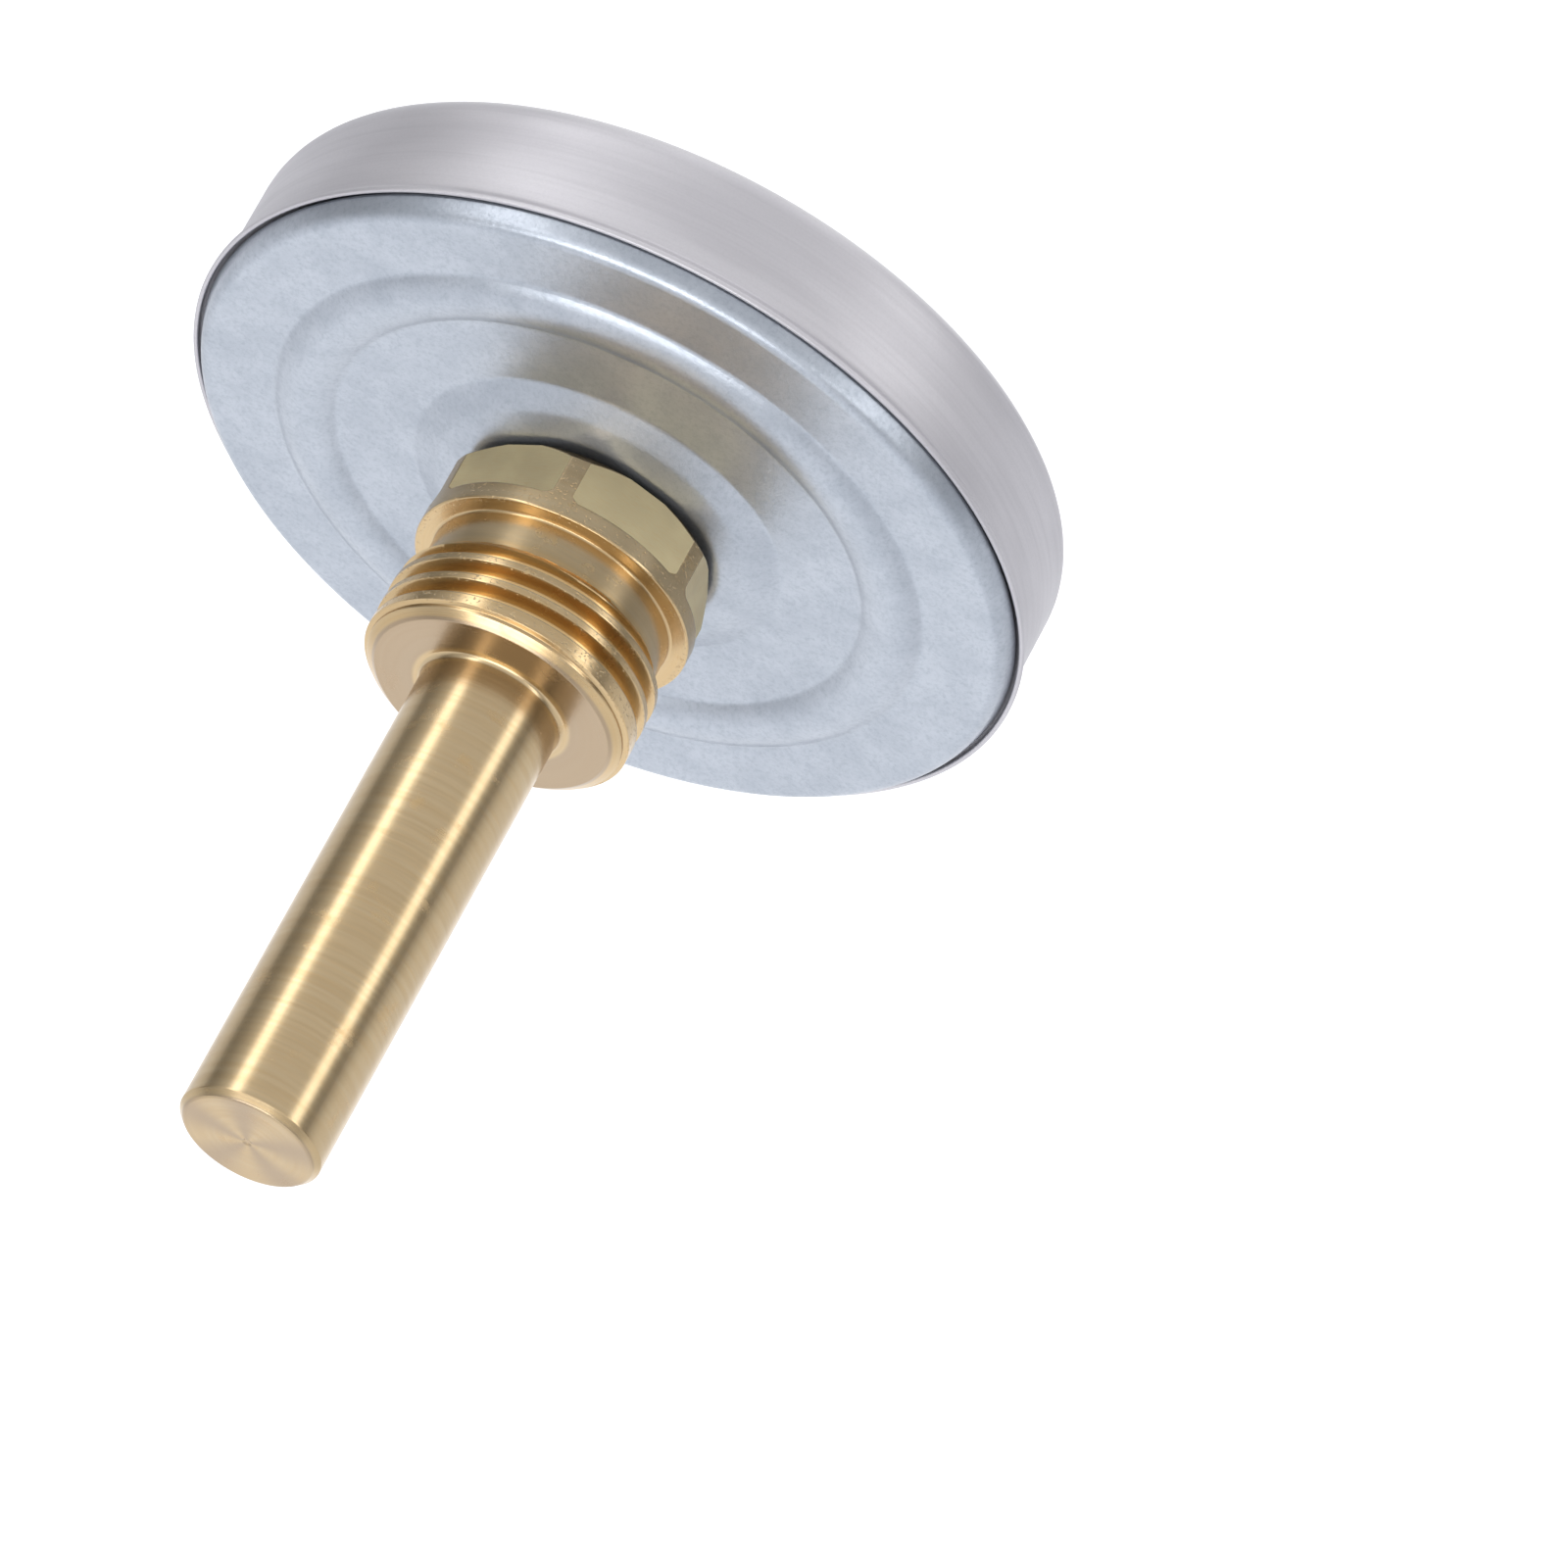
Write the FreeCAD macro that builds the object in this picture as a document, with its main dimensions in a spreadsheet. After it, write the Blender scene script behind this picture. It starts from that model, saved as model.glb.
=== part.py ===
import FreeCAD, Part
import math
import os
import re
import Sketcher
from FreeCAD import Placement, Rotation, Vector

# Dial thermometer with a back stem in a threaded brass thermowell, as a parametric document.
#
# The stem axis is world Y: the dial faces -Y, the stem points to +Y, and twelve o'clock is +Z.
# Outlines are drawn with Y measured from the sealing shoulder of the thermowell, and every
# sub-part is then moved so that the middle of the pipe thread is the origin. Sizes are in mm.

os.makedirs("parts", exist_ok=True)
document = FreeCAD.newDocument("dial_thermometer")
sheet = document.addObject("Spreadsheet::Sheet", "Sizes")

SIZES = [
    ("thread_middle", 6.5, "shoulder to the middle of the thread"),
    # thermowell
    ("head_radius", 10.87, "turned corners of the six-sided head"),
    ("flat_reach", 9.75, "axis to a wrench flat"),
    ("flat_half", 4.9, "half width of a flat's cutter"),
    ("flat_corner", 0.9, "corner radius of a flat"),
    ("flat_turn", 28.5, "turn of the flats about the axis, in degrees"),
    ("head_length", 6.0, "six-sided head along the axis"),
    ("head_chamfer", 1.0, "chamfer of the head towards the dial"),
    ("band", 1.5, "round band left between a flat and the shoulder"),
    ("neck_radius", 9.4, "relief behind the shoulder"),
    ("neck_length", 3.0, "relief along the axis"),
    ("thread_radius", 10.4775, "half the major diameter of a G 1/2 pipe thread"),
    ("thread_root", 9.32, "half the minor diameter of a G 1/2 pipe thread"),
    ("pitch", 1.814, "fourteen threads per inch"),
    ("groove_turns", 3.0, "turns of the thread groove"),
    ("groove_start", 8.38, "middle of the groove where it starts"),
    ("groove_width", 1.56, "groove width at its reach"),
    ("groove_reach", 10.95, "radius to which the groove's cutter reaches"),
    ("root_width", 0.62, "groove width where its round root begins"),
    ("root_round", 0.36, "radius of the round root"),
    ("root_rise", 0.18, "height of the round root"),
    ("land_end", 9.35, "end of the last, wide crest"),
    ("land_step", 0.4, "depth of the step between the wide crest and the end chamfer"),
    ("thread_end", 10.3, "shoulder to the end face of the thread"),
    ("end_radius", 9.25, "end face of the thread, inside its chamfer"),
    ("tube_radius", 5.5, "pocket tube"),
    ("tube_foot", 0.4, "fillet at the foot of the pocket tube"),
    ("tube_end", 51.0, "shoulder to the tip"),
    ("tip_round", 0.9, "rounding of the tip"),
    ("bore_radius", 4.1, "bore for the stem"),
    ("bore_end", 49.0, "bottom of the bore"),
    ("socket_bore", 5.6, "counterbore for the stem socket"),
    ("socket_depth", 5.2, "counterbore depth"),
    # set screw
    ("screw_radius", 1.5, "set screw M3"),
    ("screw_hole", 1.55, "cross hole for the set screw"),
    ("screw_end", 9.3, "outer end of the set screw, from the stem axis"),
    ("screw_point", 0.6, "length of the screw's cone point"),
    ("screw_station", 3.7, "screw axis in front of the shoulder"),
    ("slot_width", 0.5, "screwdriver slot"),
    ("slot_depth", 0.8, "depth of the slot"),
    # case
    ("front", 19.6, "shoulder to the outside of the bezel"),
    ("rim", 9.4, "shoulder to the back rim of the case"),
    ("case_sheet", 0.6, "sheet of the case"),
    ("wall", 32.5, "outside radius of the case wall"),
    ("corner", 2.0, "outside radius of the front corner"),
    ("opening", 27.9, "window opening in the bezel"),
    ("flare", 0.6, "how far the back rim stands out"),
    ("flare_lip", 0.35, "straight part of the back rim"),
    ("flare_length", 1.0, "back rim and its flare along the axis"),
    # window and dial, stacked backwards from the inside of the bezel
    ("gasket_inner", 28.4, "inside of the window gasket"),
    ("gasket_outer", 30.4, "outside of the window gasket"),
    ("gasket", 0.5, "gasket thickness"),
    ("glass_radius", 31.4, "window glass"),
    ("glass", 1.6, "glass thickness"),
    ("spacer_inner", 26.6, "inside of the white spacer ring"),
    ("spacer", 2.6, "spacer ring depth"),
    ("spacer_lip", 0.4, "chamfer on the front edge of the spacer ring"),
    ("dial_radius", 31.2, "dial plate"),
    ("dial", 0.5, "dial plate thickness"),
    ("dial_hole", 2.0, "centre hole of the dial"),
    # back plate
    ("plate", 0.7, "back plate sheet"),
    ("plate_radius", 31.85, "outside of the back plate's skirt"),
    ("plate_corner", 2.0, "outside radius of the back plate's corner"),
    ("plate_station", 8.0, "shoulder to the flat of the back plate"),
    ("bead_outer", 25.8, "outside of the stiffening bead"),
    ("bead_inner", 20.9, "inside of the stiffening bead"),
    ("bead_round", 3.9, "radius of the bead's section"),
    ("boss_radius", 14.65, "foot of the raised boss"),
    ("boss_top", 12.4, "edge of the boss's flat top"),
    ("boss_height", 0.9, "boss height"),
    # stem socket, stem and bimetal drive
    ("socket_flange", 9.5, "socket flange inside the back plate"),
    ("flange", 1.2, "flange thickness"),
    ("socket_neck", 6.2, "socket neck through the back plate"),
    ("socket_lip", 7.0, "riveted lip outside the back plate"),
    ("lip", 0.5, "lip thickness"),
    ("spigot_radius", 5.55, "spigot in the counterbore"),
    ("spigot_end", 1.2, "spigot end in front of the shoulder"),
    ("spigot_chamfer", 0.4, "chamfer of the spigot"),
    ("stem_radius", 4.0, "stem tube"),
    ("stem_wall", 0.5, "stem tube wall"),
    ("stem_end", 48.0, "shoulder to the end of the stem"),
    ("plug", 1.2, "end plug thickness"),
    ("anchor_radius", 2.6, "post that holds the fixed end of the coil"),
    ("anchor_length", 3.0, "post length"),
    ("coil_radius", 2.65, "inside of the bimetal coil"),
    ("ribbon", 0.25, "bimetal ribbon thickness"),
    ("ribbon_width", 0.85, "bimetal ribbon width"),
    ("coil_pitch", 1.25, "rise of the coil per turn"),
    ("coil_turns", 9.0, "turns of the coil"),
    ("coil_start", 34.0, "coil end at the spindle"),
    ("collar_lead", 1.0, "collar in front of the coil"),
    ("collar_grip", 2.4, "collar inside the coil"),
    ("spindle_radius", 0.6, "spindle"),
    ("guide_hole", 0.66, "hole of a guide bush"),
    ("guide_length", 2.5, "guide bush length"),
    ("upper_guide", 6.0, "start of the upper guide bush, in front of the shoulder"),
    ("lower_guide", 28.0, "start of the lower guide bush, behind the shoulder"),
    # pointer
    ("pointer_station", 15.3, "shoulder to the back of the pointer"),
    ("pointer_sheet", 0.3, "pointer thickness"),
    ("pointer_length", 23.35, "axis to the pointer's tip"),
    ("pointer_tip", 0.3, "radius of the pointer's tip"),
    ("pointer_root", 0.65, "half width of the pointer at the axis"),
    ("tail_radius", 11.75, "radius of the tail's end"),
    ("tail_reach", 11.42, "axis to the corners of the tail's end"),
    ("tail_root", 1.0, "half width of the tail at the disc"),
    ("tail_leave", 2.6, "axis to where the tail starts to widen"),
    ("tail_end", 2.75, "half width of the tail at its end"),
    ("tail_flank", 24.0, "radius of the tail's hollow flanks"),
    ("disc_radius", 3.07, "disc of the pointer"),
    ("bush_radius", 1.3, "pointer bush"),
    ("bush_length", 0.7, "pointer bush length"),
    ("hub_radius", 2.62, "hub cap"),
    ("hub_height", 1.0, "hub cap height"),
    ("hub_recess", 0.35, "depth of the hub cap's recess"),
    ("recess_radius", 2.26, "recess of the hub cap"),
    ("spindle_tip", 0.4, "spindle inside the hub cap"),
    ("rest_angle", -79.875, "pointer from twelve o'clock, clockwise, in degrees"),
]

for row, (name, number, meaning) in enumerate(SIZES, start=1):
    sheet.set(f"A{row}", meaning)
    sheet.set(f"B{row}", str(number))
    sheet.setAlias(f"B{row}", name)
document.recompute()


def bound(words):
    """Write size names as references to the sheet, such as wall - case_sheet."""
    return re.sub(r"[a-z][a-z_]*", r"Sizes.\g<0>", words)


def size(words):
    """The number that an expression in size names comes to."""
    return float(sheet.evalExpression(bound(words)))


def new_body(label, turn="0", station="0"):
    """A body moved from the shoulder to the middle of the thread, and turned about the stem."""
    body = document.addObject("PartDesign::Body", label)
    body.Label = label
    body.Placement = Placement(Vector(0, 0, 0), Rotation(Vector(0, 1, 0), size(turn)))
    body.setExpression(".Placement.Base.y", bound(f"{station} - thread_middle"))
    if turn != "0":
        body.setExpression(".Placement.Rotation.Angle", bound(turn))
    return body


def origin_item(body, role):
    """One of the body's own origin planes or axes."""
    return next(item for item in body.Origin.OriginFeatures if item.Role == role)


def new_sketch(body, name, role, offset="0"):
    """A sketch on an origin plane, moved along the plane's normal."""
    sketch = body.newObject("Sketcher::SketchObject", name)
    sketch.AttachmentSupport = [(origin_item(body, role), "")]
    sketch.MapMode = "FlatFace"
    if offset != "0":
        sketch.setExpression(".AttachmentOffset.Base.z", bound(offset))
    return sketch


def bind(sketch, kind, items, words, name):
    """Add a constraint whose value is an expression in size names."""
    sketch.addConstraint(Sketcher.Constraint(kind, *items, size(words)))
    sketch.renameConstraint(sketch.ConstraintCount - 1, name)
    sketch.setExpression("Constraints." + name, bound(words))


def pin_point(sketch, geometry, point, across, along, name):
    """Hold a point of the sketch at two expressions in size names."""
    if across == "0":
        sketch.addConstraint(Sketcher.Constraint("PointOnObject", geometry, point, -2))
    else:
        bind(sketch, "DistanceX", (-1, 1, geometry, point), across, name + "_across")
    if along == "0":
        sketch.addConstraint(Sketcher.Constraint("PointOnObject", geometry, point, -1))
    else:
        bind(sketch, "DistanceY", (-1, 1, geometry, point), along, name + "_along")


def arc_between(start, end, radius, turn):
    """The arc from start to end: turn is 1 for anticlockwise and -1 for clockwise."""
    chord = end - start
    rise = math.sqrt(max(radius ** 2 - chord.Length ** 2 / 4, 0))
    side = Vector(-chord.y, chord.x, 0).normalize() * turn
    centre = (start + end) * 0.5 + side * rise
    first, last = (start, end) if turn > 0 else (end, start)
    first_angle = math.atan2(first.y - centre.y, first.x - centre.x)
    last_angle = math.atan2(last.y - centre.y, last.x - centre.x)
    if last_angle < first_angle:
        last_angle += 2 * math.pi
    return Part.ArcOfCircle(Part.Circle(centre, Vector(0, 0, 1), radius), first_angle, last_angle)


def draw_outline(sketch, outline):
    """Draw a closed outline and bind it to the sheet.

    Each entry is (across, along) for a corner that a straight line leaves, or
    (across, along, radius, turn) for a corner that an arc leaves.
    """
    corners = [Vector(size(entry[0]), size(entry[1]), 0) for entry in outline]
    ends = []
    for index, entry in enumerate(outline):
        start = corners[index]
        end = corners[(index + 1) % len(corners)]
        if len(entry) == 2:
            sketch.addGeometry(Part.LineSegment(start, end), False)
            ends.append((1, 2))
        else:
            sketch.addGeometry(arc_between(start, end, size(entry[2]), entry[3]), False)
            ends.append((1, 2) if entry[3] > 0 else (2, 1))
    for index, entry in enumerate(outline):
        following = (index + 1) % len(outline)
        joint = (index, ends[index][1], following, ends[following][0])
        sketch.addConstraint(Sketcher.Constraint("Coincident", *joint))
        pin_point(sketch, index, ends[index][0], entry[0], entry[1], f"corner_{index}")
        if len(entry) > 2:
            bind(sketch, "Radius", (index,), entry[2], f"round_{index}")


def draw_circle(sketch, radius, along="0"):
    """Draw a circle on the sketch's vertical axis."""
    centre = Vector(0, size(along), 0)
    sketch.addGeometry(Part.Circle(centre, Vector(0, 0, 1), size(radius)), False)
    pin_point(sketch, 0, 3, "0", along, "centre")
    bind(sketch, "Radius", (0,), radius, "circle")


def finish_feature(body, feature, grows):
    """Make a feature the body's tip, and stop when it has not changed the volume as it should."""
    before = 0 if body.Shape.isNull() else body.Shape.Volume
    body.Tip = feature
    document.recompute()
    change = body.Shape.Volume - before
    if (change < 0.0001) if grows else (change > -0.0001):
        raise RuntimeError(f"{feature.Name} changed the volume by {change}")


def turned(label, outline, turn="0", station="0", role="XY_Plane"):
    """A body made by turning an outline of (radius, station) corners about an axis."""
    body = new_body(label, turn, station)
    sketch = new_sketch(body, label + "_outline", role)
    draw_outline(sketch, outline)
    revolution = body.newObject("PartDesign::Revolution", label + "_turned")
    revolution.Profile = sketch
    revolution.ReferenceAxis = (sketch, ["V_Axis"])
    revolution.Angle = 360
    document.recompute()
    return body


def ring(label, inner, outer, start, end, turn="0"):
    """A turned ring, or a disc when its inner radius is zero."""
    return turned(label, [(inner, start), (outer, start), (outer, end), (inner, end)], turn)


def pad(body, sketch, length):
    """Thicken a sketch along its own normal."""
    feature = body.newObject("PartDesign::Pad", sketch.Name + "_pad")
    feature.Profile = sketch
    feature.setExpression("Length", bound(length))
    return feature


def pocket(body, sketch, length, reverse=False):
    """Cut a sketch into the body against its own normal, or along it in reverse."""
    feature = body.newObject("PartDesign::Pocket", sketch.Name + "_cut")
    feature.Profile = sketch
    feature.Reversed = reverse
    feature.setExpression("Length", bound(length))
    return feature


def helix(body, kind, sketch, axis, pitch, turns, reverse):
    """Sweep a sketch along a right-handed helix about one of its own axes."""
    feature = body.newObject(kind, sketch.Name + "_helix")
    feature.Profile = sketch
    feature.ReferenceAxis = (sketch, [axis])
    feature.Mode = "pitch-turns-angle"
    feature.setExpression("Pitch", bound(pitch))
    feature.setExpression("Turns", bound(turns))
    feature.Angle = 0
    feature.LeftHanded = False
    feature.Reversed = reverse
    return feature


def cut_wrench_flats(body):
    """Six flats that stop short of the shoulder, with rounded corners there."""
    sketch = new_sketch(body, "flat_outline", "XY_Plane", "flat_reach")
    draw_outline(sketch, [
        ("-flat_half", "-head_length - head_chamfer"),
        ("flat_half", "-head_length - head_chamfer"),
        ("flat_half", "-band - flat_corner", "flat_corner", 1),
        ("flat_half - flat_corner", "-band"),
        ("flat_corner - flat_half", "-band", "flat_corner", 1),
        ("-flat_half", "-band - flat_corner"),
    ])
    flat = pocket(body, sketch, "head_radius", reverse=True)
    finish_feature(body, flat, grows=False)
    flats = body.newObject("PartDesign::PolarPattern", "six_flats")
    flats.Originals = [flat]
    flats.Axis = (origin_item(body, "Y_Axis"), [""])
    flats.Angle = 360
    flats.Occurrences = 6
    finish_feature(body, flats, grows=False)


def cut_thread(body):
    """A helical groove with a round root, from the wide last crest to the neck."""
    sketch = new_sketch(body, "groove_outline", "XY_Plane")
    draw_outline(sketch, [
        ("groove_reach", "groove_start - groove_width / 2"),
        ("groove_reach", "groove_start + groove_width / 2"),
        ("thread_root + root_rise", "groove_start + root_width / 2", "root_round", 1),
        ("thread_root + root_rise", "groove_start - root_width / 2"),
    ])
    groove = helix(body, "PartDesign::SubtractiveHelix", sketch, "V_Axis", "pitch", "groove_turns", True)
    finish_feature(body, groove, grows=False)


def make_thermowell():
    """Turned brass pocket with a six-sided head, a pipe thread and a blind bore."""
    body = turned("thermowell", [
        ("socket_bore", "-head_length"),
        ("head_radius - head_chamfer", "-head_length"),
        ("head_radius", "head_chamfer - head_length"),
        ("head_radius", "0"),
        ("neck_radius", "0"),
        ("neck_radius", "neck_length"),
        ("thread_radius", "neck_length + thread_radius - neck_radius"),
        ("thread_radius", "land_end"),
        ("thread_radius - land_step", "land_end + land_step / 3"),
        ("thread_radius - land_step", "land_end + land_step"),
        ("end_radius", "thread_end"),
        ("tube_radius + tube_foot", "thread_end", "tube_foot", -1),
        ("tube_radius", "thread_end + tube_foot"),
        ("tube_radius", "tube_end - tip_round", "tip_round", 1),
        ("tube_radius - tip_round", "tube_end"),
        ("0", "tube_end"),
        ("0", "bore_end"),
        ("bore_radius", "bore_end"),
        ("bore_radius", "socket_depth - head_length"),
        ("socket_bore", "socket_depth - head_length"),
    ], turn="flat_turn")
    cut_wrench_flats(body)
    hole = new_sketch(body, "screw_hole_outline", "XY_Plane")
    draw_circle(hole, "screw_hole", "-screw_station")
    finish_feature(body, pocket(body, hole, "head_radius"), grows=False)
    cut_thread(body)


def make_set_screw():
    """Grub screw with a cone point, in the flat that the cross hole opens in."""
    body = turned("set_screw", [
        ("0", "socket_bore"),
        ("screw_radius / 2", "socket_bore"),
        ("screw_radius", "socket_bore + screw_point"),
        ("screw_radius", "screw_end"),
        ("0", "screw_end"),
    ], turn="flat_turn + 180", station="-screw_station", role="XZ_Plane")
    slot = new_sketch(body, "slot_outline", "XY_Plane", "screw_end")
    draw_outline(slot, [
        ("-slot_width / 2", "-screw_radius * 2"),
        ("slot_width / 2", "-screw_radius * 2"),
        ("slot_width / 2", "screw_radius * 2"),
        ("-slot_width / 2", "screw_radius * 2"),
    ])
    finish_feature(body, pocket(body, slot, "slot_depth"), grows=False)


def make_case():
    """Drawn shell: a bezel, a rounded corner, a wall and a flared back rim."""
    turned("case_shell", [
        ("opening", "-front"),
        ("wall - corner", "-front", "corner", 1),
        ("wall", "corner - front"),
        ("wall", "-rim - flare_length"),
        ("wall + flare", "-rim - flare_lip"),
        ("wall + flare", "-rim"),
        ("wall + flare - case_sheet", "-rim"),
        ("wall + flare - case_sheet", "-rim - flare_lip"),
        ("wall - case_sheet", "-rim - flare_length"),
        ("wall - case_sheet", "corner - front", "corner - case_sheet", -1),
        ("wall - corner", "case_sheet - front"),
        ("opening", "case_sheet - front"),
    ])


def make_window_and_dial():
    """Gasket, glass, white spacer ring and dial plate, one behind the other."""
    gasket_front = "case_sheet - front"
    glass_front = gasket_front + " + gasket"
    spacer_front = glass_front + " + glass"
    dial_front = spacer_front + " + spacer"
    dial_back = dial_front + " + dial"
    ring("window_gasket", "gasket_inner", "gasket_outer", gasket_front, glass_front)
    ring("window_glass", "0", "glass_radius", glass_front, spacer_front)
    turned("spacer_ring", [
        ("spacer_inner + spacer_lip", spacer_front),
        ("glass_radius", spacer_front),
        ("glass_radius", dial_front),
        ("spacer_inner", dial_front),
        ("spacer_inner", spacer_front + " + spacer_lip"),
    ])
    ring("dial_plate", "dial_hole", "dial_radius", dial_front, dial_back)
    return dial_back


def make_back_plate(skirt_front):
    """Pressed cup with a raised bead and a raised boss; its skirt clamps the dial."""
    turned("back_plate", [
        ("socket_neck", "boss_height - plate_station"),
        ("boss_top", "boss_height - plate_station"),
        ("boss_radius", "-plate_station"),
        ("bead_inner", "-plate_station", "bead_round", -1),
        ("bead_outer", "-plate_station"),
        ("plate_radius - plate_corner", "-plate_station", "plate_corner", -1),
        ("plate_radius", "-plate_station - plate_corner"),
        ("plate_radius", skirt_front),
        ("plate_radius - plate", skirt_front),
        ("plate_radius - plate", "-plate_station - plate_corner", "plate_corner - plate", 1),
        ("plate_radius - plate_corner", "-plate_station - plate"),
        ("bead_outer", "-plate_station - plate", "bead_round", 1),
        ("bead_inner", "-plate_station - plate"),
        ("boss_radius", "-plate_station - plate"),
        ("boss_top", "boss_height - plate_station - plate"),
        ("socket_neck", "boss_height - plate_station - plate"),
    ])


def make_stem():
    """Socket riveted in the back plate, with the closed stem tube that it holds."""
    boss = "boss_height - plate_station"
    turned("stem_socket", [
        ("stem_radius", boss + " - plate - flange"),
        ("socket_flange", boss + " - plate - flange"),
        ("socket_flange", boss + " - plate"),
        ("socket_neck", boss + " - plate"),
        ("socket_neck", boss),
        ("socket_lip", boss),
        ("socket_lip", boss + " + lip"),
        ("spigot_radius", boss + " + lip"),
        ("spigot_radius", "-spigot_end - spigot_chamfer"),
        ("spigot_radius - spigot_chamfer", "-spigot_end"),
        ("stem_radius", "-spigot_end"),
    ])
    inside = "stem_radius - stem_wall"
    ring("stem_tube", inside, "stem_radius", boss + " - plate - flange", "stem_end")
    ring("stem_end_plug", "0", inside, "stem_end - plug", "stem_end")
    ring("coil_anchor", "0", "anchor_radius", "stem_end - plug - anchor_length", "stem_end - plug")
    ring("guide_bush_upper", "guide_hole", inside, "-upper_guide", "guide_length - upper_guide")
    ring("guide_bush_lower", "guide_hole", inside, "lower_guide", "lower_guide + guide_length")


def make_coil():
    """Helical bimetal ribbon between the coil collar and the fixed post."""
    body = new_body("bimetal_coil")
    sketch = new_sketch(body, "ribbon_outline", "XY_Plane")
    draw_outline(sketch, [
        ("coil_radius", "coil_start"),
        ("coil_radius + ribbon", "coil_start"),
        ("coil_radius + ribbon", "coil_start + ribbon_width"),
        ("coil_radius", "coil_start + ribbon_width"),
    ])
    ribbon = helix(body, "PartDesign::AdditiveHelix", sketch, "V_Axis", "coil_pitch", "coil_turns", False)
    finish_feature(body, ribbon, grows=True)


def make_spindle():
    """Spindle from the coil to the pointer, with the collar that grips the coil."""
    front_face = "-pointer_station - pointer_sheet"
    collar_end = "coil_start + collar_grip"
    ring("spindle", "0", "spindle_radius", front_face + " - spindle_tip", collar_end)
    ring("coil_collar", "spindle_radius", "anchor_radius", "coil_start - collar_lead", collar_end)
    ring("pointer_bush", "spindle_radius", "bush_radius", "-pointer_station", "bush_length - pointer_station")
    turned("pointer_hub", [
        ("spindle_radius", front_face),
        ("hub_radius", front_face),
        ("hub_radius", front_face + " - hub_height"),
        ("recess_radius", front_face + " - hub_height"),
        ("recess_radius", front_face + " - hub_height + hub_recess"),
        ("0", front_face + " - hub_height + hub_recess"),
        ("0", front_face + " - spindle_tip"),
        ("spindle_radius", front_face + " - spindle_tip"),
    ])


def make_pointer():
    """Sheet pointer: a tapering blade, a disc, and a tail with hollow flanks."""
    body = new_body("pointer", turn="rest_angle")
    disc = new_sketch(body, "disc_outline", "XZ_Plane", "pointer_station")
    draw_circle(disc, "disc_radius")
    finish_feature(body, pad(body, disc, "pointer_sheet"), grows=True)
    blade = new_sketch(body, "blade_outline", "XZ_Plane", "pointer_station")
    draw_outline(blade, [
        ("-pointer_root", "0"),
        ("pointer_root", "0"),
        ("pointer_tip", "pointer_length - pointer_tip", "pointer_tip * 1.001", 1),
        ("-pointer_tip", "pointer_length - pointer_tip"),
    ])
    finish_feature(body, pad(body, blade, "pointer_sheet"), grows=True)
    tail = new_sketch(body, "tail_outline", "XZ_Plane", "pointer_station")
    draw_outline(tail, [
        ("-tail_root", "0"),
        ("-tail_root", "-tail_leave", "tail_flank", -1),
        ("-tail_end", "-tail_reach", "tail_radius", 1),
        ("tail_end", "-tail_reach", "tail_flank", -1),
        ("tail_root", "-tail_leave"),
        ("tail_root", "0"),
    ])
    finish_feature(body, pad(body, tail, "pointer_sheet"), grows=True)
    hole = new_sketch(body, "spindle_hole_outline", "XZ_Plane", "pointer_station")
    draw_circle(hole, "spindle_radius")
    finish_feature(body, pocket(body, hole, "pointer_sheet", reverse=True), grows=False)


make_thermowell()
make_set_screw()
make_case()
skirt_front = make_window_and_dial()
make_back_plate(skirt_front)
make_stem()
make_coil()
make_spindle()
make_pointer()
document.recompute()

for item in document.Objects:
    if "Invalid" in item.State or "Error" in item.State:
        raise RuntimeError(f"{item.Label} failed: {item.State}")

bodies = [item for item in document.Objects if item.TypeId == "PartDesign::Body"]
for body in bodies:
    shape = body.Shape
    if shape.isNull() or not shape.isValid() or len(shape.Solids) != 1:
        raise RuntimeError(body.Label + " is not one valid solid")
for body in bodies:
    body.Shape.exportStep(f"parts/{body.Label}.step")
    print(f"{body.Label}: {body.Shape.Volume:.2f} mm3, {body.Shape.BoundBox}")
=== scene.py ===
"""Dial thermometer with a thermowell: its visible pieces, their finishes and a plain stage."""

from math import cos, pi, radians, sin
from types import SimpleNamespace

import bmesh
import bpy
import numpy as np
from mathutils import Matrix, Vector


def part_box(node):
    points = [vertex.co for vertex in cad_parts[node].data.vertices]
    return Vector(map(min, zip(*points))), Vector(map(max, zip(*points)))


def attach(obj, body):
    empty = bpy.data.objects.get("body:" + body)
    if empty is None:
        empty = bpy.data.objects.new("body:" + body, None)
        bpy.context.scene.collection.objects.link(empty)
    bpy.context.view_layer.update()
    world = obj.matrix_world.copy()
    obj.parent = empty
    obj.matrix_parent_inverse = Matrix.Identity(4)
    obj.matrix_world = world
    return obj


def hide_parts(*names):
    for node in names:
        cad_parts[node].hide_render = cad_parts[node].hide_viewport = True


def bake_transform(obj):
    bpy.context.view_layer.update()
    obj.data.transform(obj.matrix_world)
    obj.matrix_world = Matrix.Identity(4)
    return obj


bl_info = {
    "name": "Dial thermometer",
    "version": (1, 0, 0),
    "blender": (4, 5, 0),
    "location": "3D View > Sidebar > Thermometer",
    "description": "Builds a dial thermometer and its thermowell piece by piece, with finishes and a stage",
    "category": "Object",
}

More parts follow.
